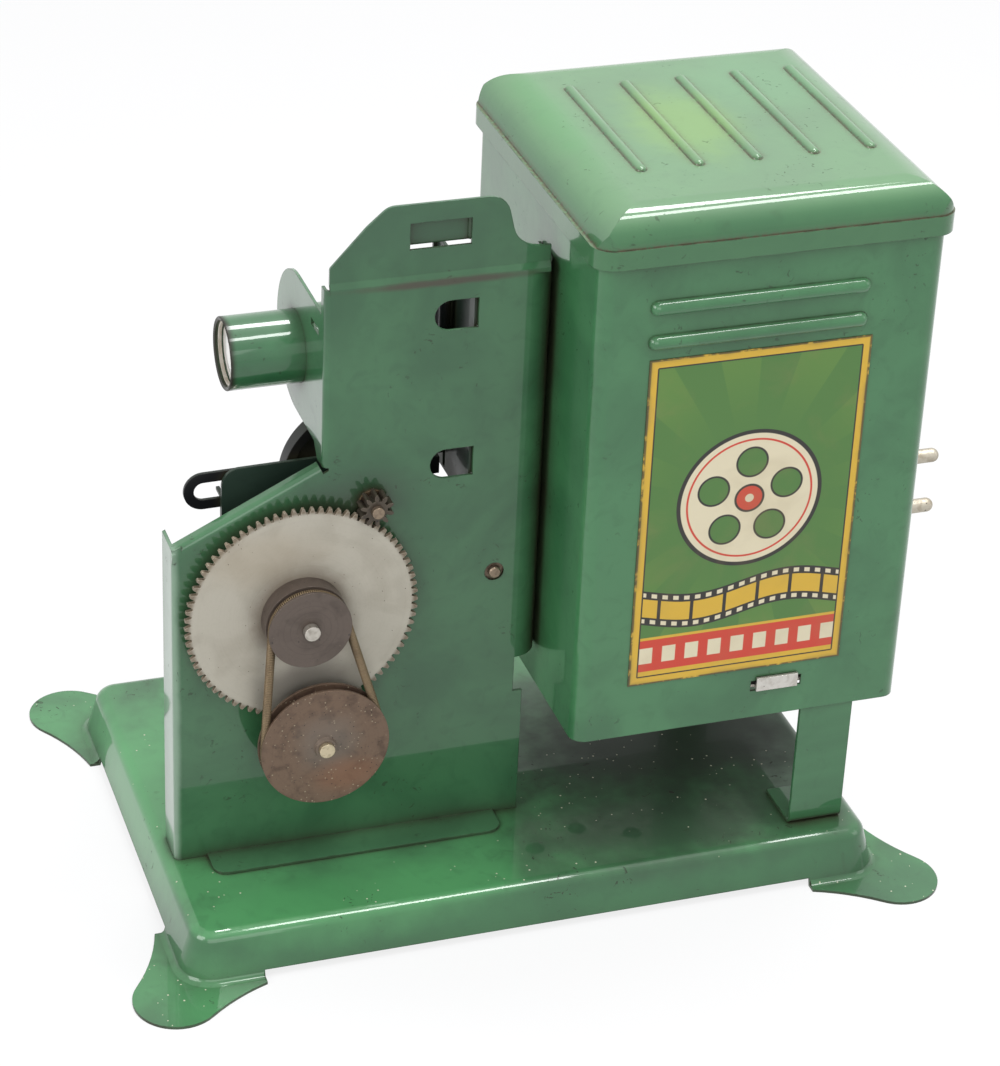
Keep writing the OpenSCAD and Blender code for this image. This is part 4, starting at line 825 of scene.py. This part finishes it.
@dataclass
class CoiledBelt:
    """The spring belt: one long coil of wire whose ends hook together, round both pulleys."""

    drive_mm: Pair
    driven_mm: Pair
    y_mm: float = -47.65
    drive_pitch_mm: float = 12.1
    driven_pitch_mm: float = 20.0
    outside_mm: float = 3.0
    wire_mm: float = 0.58
    curls: int = 300
    points_per_curl: int = 12

    def run(self, s: float) -> tuple[float, float, float, float]:
        """Middle line of the belt.

        The loop is laid out with the drive pulley at the origin and the driven one on the
        first axis, and is then turned and moved to where the pulleys are.

        Args:
            s: how far along it, from 0 to 1.

        Returns:
            x and z in millimetres, and the outward direction's x and z.
        """
        (ax, az), (bx, bz) = self.drive_mm, self.driven_mm
        gap = math.dist(self.drive_mm, self.driven_mm)
        base = math.atan2(bz - az, bx - ax)
        tilt = math.asin((self.driven_pitch_mm - self.drive_pitch_mm) / gap)
        lead, straight = math.pi / 2 + tilt, gap * math.cos(tilt)
        arc_a = self.drive_pitch_mm * 2 * (math.pi - lead)
        arc_b = self.driven_pitch_mm * 2 * lead
        t = s * (arc_a + arc_b + 2 * straight)
        if t < arc_a:
            a, along, from_b = lead + t / self.drive_pitch_mm, 0.0, False
        elif t < arc_a + straight:
            a, along, from_b = -lead, t - arc_a, False
        elif t < arc_a + straight + arc_b:
            a, along, from_b = -lead + (t - arc_a - straight) / self.driven_pitch_mm, 0.0, True
        else:
            a, along, from_b = lead, t - arc_a - straight - arc_b, True
        r = self.driven_pitch_mm if from_b else self.drive_pitch_mm
        u = (gap if from_b else 0.0) + r * math.cos(a) - along * math.sin(a)
        v = r * math.sin(a) + along * math.cos(a)
        c, n = math.cos(base), math.sin(base)
        return ax + u * c - v * n, az + u * n + v * c, math.cos(a + base), math.sin(a + base)

    def build(self, material: bpy.types.Material) -> None:
        """Winds the coil and puts it in the place of the CAD belt.

        Args:
            material: the wire's finish.
        """
        clear_selection()
        curve = bpy.data.curves.new("belt_line", "CURVE")
        curve.dimensions = "3D"
        curve.bevel_depth = self.wire_mm / 2 * MM
        curve.bevel_resolution = 1
        line = curve.splines.new("POLY")
        count = self.curls * self.points_per_curl
        line.points.add(count - 1)
        reach = (self.outside_mm - self.wire_mm) / 2
        for i, point in enumerate(line.points):
            x, z, ox, oz = self.run(i / count)
            w = 2 * math.pi * i / self.points_per_curl
            out, side = reach * math.cos(w), reach * math.sin(w)
            point.co = ((x + out * ox) * MM, (self.y_mm - side) * MM, (z + out * oz) * MM, 1.0)
        line.use_cyclic_u = True
        piece = bpy.data.objects.new("coiled_belt", curve)
        bpy.context.scene.collection.objects.link(piece)
        piece.select_set(True)
        bpy.context.view_layer.objects.active = piece
        bpy.ops.object.convert(target="MESH")
        bpy.ops.object.shade_smooth()
        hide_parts("drive_belt")
        settle(piece, material, Rider.FRAME)


@dataclass
class SheetMetalWork:
    """The enamelled pressings: base, tower, lamp house, lid and the parts that hold them."""

    lid_patches: tuple[Patch, ...] = (
        Patch((60, -8, 256), (24, 40, 12), (0.20, 0.36, 0.085), 0.55),
        Patch((100, 20, 256), (30, 34, 12), (0.13, 0.30, 0.15), 0.4),
        # Painted light: a brighter green on the lid's left roll, where light from the left falls.
        Patch((22, 8, 250), (9, 60, 20), (0.085, 0.27, 0.095), 0.5),
    )
    tower_patches: tuple[Patch, ...] = (
        # Painted reflection: a pale strip down the tower's front flange.
        Patch((-115.05, -38, 70), (3.0, 22, 170), (0.30, 0.42, 0.32), 0.6),
        Patch((-52, -34, 243), (66, 8, 17), (0.027, 0.090, 0.044), 0.55),
        Patch((-27, -35.2, 222.4), (42, 5, 2.0), (0.050, 0.036, 0.022), 0.85),
        Patch((-52, -35.2, 150), (30, 5, 12), (0.022, 0.060, 0.030), 0.55),
    )
    tube_patches: tuple[Patch, ...] = (
        Patch((-91.0, -2.25, 188.7), (3.2, 90, 90), (0.026, 0.020, 0.017), 0.95, 0.85),
        Patch((-60, -14, 186), (5, 8, 12), (0.030, 0.050, 0.030), 0.5),
    )
    base_light_and_shade_patches: tuple[Patch, ...] = (
        # Painted shadow of the lamp house, with grime, on the base under and in front of it,
        # dulled as well.
        Patch((72, -8, 17), (100, 64, 14), (0.016, 0.026, 0.016), 0.95, 0.9),
        # Painted shadow of the lamp house on the base in front of it.
        Patch((52, -60, 17), (76, 30, 14), (0.022, 0.046, 0.026), 0.75),
        # Painted light: a brighter green on the base's left end, open to the light.
        Patch((-120, 10, 14), (34, 84, 18), (0.100, 0.360, 0.135), 0.75),
        # Painted light: a brighter green strip on the base in front of the tower.
        Patch((-62, -70, 17), (66, 24, 14), (0.085, 0.320, 0.115), 0.6),
        # Painted shade on the near right foot, in front of the lamp house.
        Patch((126, -90, 3), (30, 26, 16), (0.034, 0.110, 0.050), 0.7),
        # Painted light: a brighter green on the near left foot, where light from the left falls.
        Patch((-112, -92, 3), (30, 26, 14), (0.085, 0.300, 0.115), 0.6),
    )

    def build(self) -> None:
        """Dresses the pressings."""
        dress(Enamel("green_enamel").make(), "lamp_house")
        tower = Enamel(
            "tower_enamel",
            paint=(0.044, 0.152, 0.064),
            deep=(0.026, 0.104, 0.043),
            grime_and_shade_share=0.95,
            patches=self.tower_patches,
        )
        dress(tower.make(), "tower_panel", "lens_plate_sleeve")
        base = Enamel(
            "base_enamel",
            paint=(0.068, 0.265, 0.098),
            deep=(0.034, 0.130, 0.052),
            side_shade_share=0.8,
            dust_share=0.09,
            grime_and_shade_share=1.1,
            chip_share=0.7,
            patches=self.base_light_and_shade_patches,
        )
        dress(base.make(), "base_pan")
        leg = Enamel("leg_enamel", grime_and_shade_share=0.95, chip_share=0.7)
        dress(leg.make(), "support_leg")
        lid = Enamel(
            "lid_enamel",
            paint=(0.068, 0.205, 0.081),
            deep=(0.042, 0.150, 0.060),
            film_share=0.26,
            side_shade_share=0.65,
            crease_share=0.9,
            ripple_mm=0.02,
            patches=self.lid_patches,
        )
        dress(lid.make(), "lamp_house_lid")
        tube = Enamel(
            "tube_enamel",
            paint=(0.044, 0.165, 0.068),
            deep=(0.028, 0.115, 0.047),
            grime_and_shade_share=0.5,
            patches=self.tube_patches,
        )
        dress(tube.make(), "lens_barrel")
        # Painted shade: the mechanism plate and film gate get a darker, duller green than the
        # tower, for the shade they sit in behind it.
        shade_dark = Enamel(
            "dark_enamel", paint=(0.026, 0.046, 0.034), deep=(0.018, 0.032, 0.024), gloss=0.2
        )
        dress(shade_dark.make(), "mechanism_plate", "film_gate")
        black = Enamel(
            "black_enamel", paint=(0.008, 0.008, 0.010), deep=(0.005, 0.005, 0.006), gloss=0.12
        )
        dress(black.make(), "flywheel", "claw_link", "gate_door")


@dataclass
class GearTrain:
    """The large gear, its pinion, the two pulleys and their shafts."""

    drive_mm: Pair = (-73.25, 110.9)
    driven_mm: Pair = (-67.75, 65.0)
    gear_y_mm: float = -41.2
    pulley_y_mm: float = -48.0

    def build(self) -> None:
        """Dresses the gear train and winds its belt."""
        x, y, z = self.drive_mm[0], self.gear_y_mm, self.drive_mm[1]
        gear_patches = (
            # Painted shade with oil: darker round the hub, under the drive pulley.
            Patch((x, y, z), (23, 30, 23), (0.13, 0.100, 0.075), 0.75),
            # Painted shade between the pulleys, below the drive pulley.
            Patch((x + 2, y, z - 27), (24, 30, 15), (0.20, 0.18, 0.16), 0.6),
            Patch((x - 14, y, z + 22), (30, 30, 14), (0.40, 0.33, 0.235), 0.35),
        )
        gear = Metal(
            "gear_steel",
            colour=(0.475, 0.445, 0.375),
            stain_and_painted_light=(0.185, 0.140, 0.095),
            stain_share=0.22,
            pit_share=0.06,
            pit_pitch_mm=2.6,
            axis_mm=self.drive_mm,
            lathe_share=0.05,
            rim_mm=38.0,
            metallic=0.35,
            roughness=0.46,
            # Painted shade with grime: dark tooth roots and corners.
            hollow_grime_and_shade_share=0.8,
            patches=gear_patches,
        )
        dress(gear.make(), "main_gear")
        disc = Metal(
            "pulley_steel",
            colour=(0.118, 0.092, 0.077),
            stain_and_painted_light=(0.050, 0.036, 0.028),
            stain_share=0.6,
            stain_mm=8,
            metallic=0.45,
            roughness=0.36,
            crumb_share=0.05,
            axis_mm=self.drive_mm,
        )
        dress(disc.make(), "drive_pulley")
        x, y, z = self.driven_mm[0], self.pulley_y_mm, self.driven_mm[1]
        rust_patches = (
            Patch((x + 1, y, z + 2), (15, 30, 15), (0.180, 0.155, 0.130), 0.55),
            Patch((x + 8, y, z - 12), (17, 30, 9), (0.230, 0.105, 0.055), 0.5),
        )
        rust = Metal(
            "rusty_steel",
            colour=(0.160, 0.104, 0.070),
            stain_and_painted_light=(0.055, 0.030, 0.019),
            stain_share=0.75,
            stain_mm=5,
            metallic=0.35,
            roughness=0.40,
            pit_share=0.12,
            pit_pitch_mm=1.6,
            crumb_share=0.17,
            patches=rust_patches,
            axis_mm=self.driven_mm,
            lathe_share=0.10,
        )
        dress(rust.make(), "takeup_pulley")
        oily = Metal(
            "oily_steel",
            colour=(0.085, 0.068, 0.050),
            stain_and_painted_light=(0.018, 0.012, 0.008),
            stain_share=0.8,
            stain_mm=3,
            metallic=0.5,
            roughness=0.32,
            edge_shine=0.8,
        )
        dress(oily.make(), "pinion")
        steel = Metal(
            "bright_steel",
            colour=(0.50, 0.47, 0.42),
            stain_and_painted_light=(0.13, 0.10, 0.07),
            stain_share=0.6,
            stain_mm=2.2,
            grain_mm=0.5,
            roughness=0.34,
        )
        dress(steel.make(), "crank_shaft", "eccentric", "reel_collar", "crank_arm", "handle_pin")
        warm = Metal(
            "warm_steel",
            colour=(0.56, 0.48, 0.33),
            stain_and_painted_light=(0.15, 0.10, 0.05),
            stain_share=0.6,
            stain_mm=1.6,
            roughness=0.32,
        )
        dress(warm.make(), "takeup_shaft")
        stub = Metal(
            "stub_steel",
            colour=(0.26, 0.200, 0.145),
            stain_and_painted_light=(0.07, 0.045, 0.030),
            stain_share=0.5,
            stain_mm=1.6,
            roughness=0.34,
            edge_shine=0.8,
        )
        dress(stub.make(), "pinion_shaft", "house_rivets", "roller_stud")
        wire = Metal(
            "belt_wire",
            colour=(0.235, 0.172, 0.102),
            stain_and_painted_light=(0.085, 0.055, 0.030),
            stain_share=0.6,
            stain_mm=8,
            metallic=0.6,
            roughness=0.40,
            edge_mm=0.05,
            edge_shine=0.0,
            pit_share=0.02,
        )
        CoiledBelt(self.drive_mm, self.driven_mm).build(wire.make())
        wood = Solid(
            "handle_wood",
            colour=(0.020, 0.012, 0.008),
            shade=(0.045, 0.022, 0.012),
            size_mm=2,
            stretch=(4, 0.5, 4),
            roughness=0.3,
            gloss=0.6,
            wear=(0.20, 0.10, 0.045),
        )
        dress(wood.make(), "crank_handle")


@dataclass
class FilmPath:
    """The lens, the gate, the rollers and the bushes."""

    def build(self) -> None:
        """Dresses the film path."""
        plain = Metal("dull_steel", colour=(0.46, 0.44, 0.40), stain_share=0.4, stain_mm=8)
        dress(plain.make(), "gate_hinge_pin", "guide_roller", "condenser_mount")
        brass = Metal(
            "strap_brass",
            colour=(0.60, 0.44, 0.20),
            stain_and_painted_light=(0.16, 0.09, 0.04),
            stain_share=0.5,
            stain_mm=5,
        )
        dress(brass.make(), "pressure_runners", "lamp_cap", "contact_straps")
        dull = Metal(
            "dull_brass",
            colour=(0.16, 0.11, 0.06),
            stain_and_painted_light=(0.05, 0.03, 0.02),
            stain_share=0.7,
            stain_mm=2,
        )
        dress(dull.make(), "bearing_bushes")
        front = Clear(
            "lens_glass", colour=(0.97, 0.95, 0.91), dust=0.5, transmission=0.05, ior=2.1
        )
        dress(front.make(), "front_lens", "rear_lens")
        ring = Solid(
            "cream_ring",
            colour=(0.86, 0.81, 0.73),
            shade=(0.70, 0.62, 0.50),
            size_mm=2,
            roughness=0.5,
        )
        dress(ring.make(), "lens_ring")


@dataclass
class LampHouse:
    """What the lamp house holds and wears apart from its enamel."""

    def build(self) -> None:
        """Dresses the lamp, its fittings and the label."""
        tin = Metal(
            "floor_steel",
            colour=(0.60, 0.58, 0.54),
            stain_share=0.5,
            stain_mm=4,
            roughness=0.3,
        )
        dress(tin.make(), "lamp_house_floor", "reflector_post", "lamp_stand")
        pins = Metal(
            "pin_steel",
            colour=(0.50, 0.46, 0.38),
            stain_and_painted_light=(0.22, 0.16, 0.09),
            stain_share=0.5,
            stain_mm=3,
        )
        dress(pins.make(), "inlet_pins")
        glass = Clear("lamp_glass")
        dress(glass.make(), "condenser_lens", "lamp_glass")
        mirror = Metal(
            "mirror_glass",
            colour=(0.82, 0.82, 0.80),
            stain_share=0.2,
            metallic=1.0,
            roughness=0.06,
        )
        dress(mirror.make(), "reflector")
        wire = Metal(
            "filament_wire",
            colour=(0.30, 0.29, 0.28),
            stain_share=0.2,
            stain_mm=1,
            edge_mm=0.05,
        )
        dress(wire.make(), "lamp_filament")
        glaze = Solid(
            "socket_glaze",
            colour=(0.74, 0.72, 0.64),
            shade=(0.66, 0.62, 0.53),
            size_mm=6,
            gloss=0.6,
        )
        dress(glaze.make(), "lamp_socket")
        fibre = Solid(
            "inlet_fibre",
            colour=(0.13, 0.045, 0.028),
            shade=(0.07, 0.025, 0.018),
            size_mm=1,
            roughness=0.5,
        )
        dress(fibre.make(), "inlet_block")
        dress(PrintedLabel("label_print").make(), "label_sheet")


@dataclass
class Studio:
    """The pale floor, the soft light and the camera."""

    camera_mm: Triple = (-311.64, -889.67, 660.78)
    azimuth: float = -17.74
    elevation: float = 28.69
    roll: float = 1.68
    lens_mm: float = 115.75
    sensor_mm: float = 36.0
    clip_m: Pair = (0.05, 20.0)
    shift: Pair = (0.0935, -0.0986)
    white: Triple = (1.0, 1.0, 1.0)
    room: float = 0.30
    room_tint: Triple = (0.96, 0.98, 1.0)
    floor_m: float = 8.0
    floor_tone: Triple = (0.45, 0.45, 0.45)
    paper: Triple = (0.88, 0.88, 0.90)
    glow_share: float = 0.80
    aim_m: Triple = (0, 0, 0.12)
    lamps: tuple[tuple[str, Triple, Pair, float], ...] = (
        ("overhead_near", (0.38, -0.42, 1.45), (0.9, 0.17), 8.5),
        ("overhead_far", (0.35, 0.32, 1.50), (0.7, 0.26), 13.0),
        ("left", (-1.4, -0.5, 0.9), (0.9, 0.9), 13.5),
        ("front", (-0.35, -1.70, 0.75), (1.4, 1.0), 8.2),
        ("right", (1.5, -0.8, 0.8), (0.8, 0.8), 3.0),
    )

    def build(self) -> None:
        """Sets up floor, light and camera."""
        bpy.context.scene.view_settings.view_transform = "Standard"
        self._floor()
        self._world()
        for name, place, size, power in self.lamps:
            self._lamp(name, place, size, power)
        self._camera()

    def _floor(self) -> None:
        """Lays the floor, which shows near white and keeps the shadow."""
        clear_selection()
        bpy.ops.mesh.primitive_plane_add(size=self.floor_m, location=(0, 0, 0))
        floor = bpy.context.object
        floor.name = "floor"
        material = bpy.data.materials.new("floor_paper")
        material.use_nodes = True
        g = Graph(material.node_tree)
        share = g.shown() * self.glow_share
        tone = g.lay(g.shown(), self.floor_tone, self.paper)
        paper = g.node("ShaderNodeBsdfDiffuse", {}, {"Color": tone})
        glow = g.node("ShaderNodeEmission", {}, {"Color": self.white, "Strength": 1.0})
        both = g.node("ShaderNodeMixShader", {}, {0: share, 1: paper, 2: glow})
        g.show(both, "ShaderNodeOutputMaterial")
        floor.data.materials.append(material)

    def _world(self) -> None:
        """Lights the room evenly, and shows it white behind everything."""
        world = bpy.data.worlds.new("room")
        bpy.context.scene.world = world
        world.use_nodes = True
        g = Graph(world.node_tree)
        tinted = {"Color": self.room_tint, "Strength": self.room}
        room = g.node("ShaderNodeBackground", {}, tinted)
        white = g.node("ShaderNodeBackground", {}, {"Color": self.white, "Strength": 1.0})
        both = g.node("ShaderNodeMixShader", {}, {0: g.shown(), 1: room, 2: white})
        g.show(both, "ShaderNodeOutputWorld")

    def _lamp(self, name: str, place: Triple, size: Pair, power: float) -> None:
        """Hangs one soft light that faces the projector.

        Args:
            name: its name.
            place: where it hangs.
            size: its length along X and its width.
            power: its power in watts.
        """
        light = bpy.data.lights.new(name, "AREA")
        light.shape, light.size, light.size_y, light.energy = "RECTANGLE", *size, power
        lamp = bpy.data.objects.new(name, light)
        bpy.context.scene.collection.objects.link(lamp)
        lamp.location = place
        ahead = Vector(self.aim_m) - Vector(place)
        lamp.rotation_euler = ahead.to_track_quat("-Z", "Y").to_euler()

    def _camera(self) -> None:
        """Places the camera where the photograph was taken from."""
        turn, rise = math.radians(self.azimuth), math.radians(self.elevation)
        flat = math.cos(rise)
        back = Vector((math.sin(turn) * flat, -math.cos(turn) * flat, math.sin(rise)))
        right = Vector((math.cos(turn), math.sin(turn), 0))
        up = back.cross(right)
        c, n = math.cos(math.radians(self.roll)), math.sin(math.radians(self.roll))
        right, up = right * c + up * n, up * c - right * n
        data = bpy.data.cameras.new("camera")
        data.sensor_fit, data.sensor_width = "HORIZONTAL", self.sensor_mm
        data.lens = self.lens_mm
        data.shift_x, data.shift_y = self.shift
        data.clip_start, data.clip_end = self.clip_m
        camera = bpy.data.objects.new("camera", data)
        bpy.context.scene.collection.objects.link(camera)
        facing = Matrix((right, up, back)).transposed().to_4x4()
        camera.matrix_world = Matrix.Translation(Vector(self.camera_mm) * MM) @ facing
        bpy.context.scene.camera = camera


def main() -> None:
    """Dresses the projector and sets the studio."""
    logging.basicConfig(level=logging.INFO, format="%(name)s: %(message)s")
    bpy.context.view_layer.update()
    for work in (Studio(), SheetMetalWork(), GearTrain(), FilmPath(), LampHouse()):
        work.build()
    bpy.context.view_layer.update()


if __name__ == "__main__":
    main()
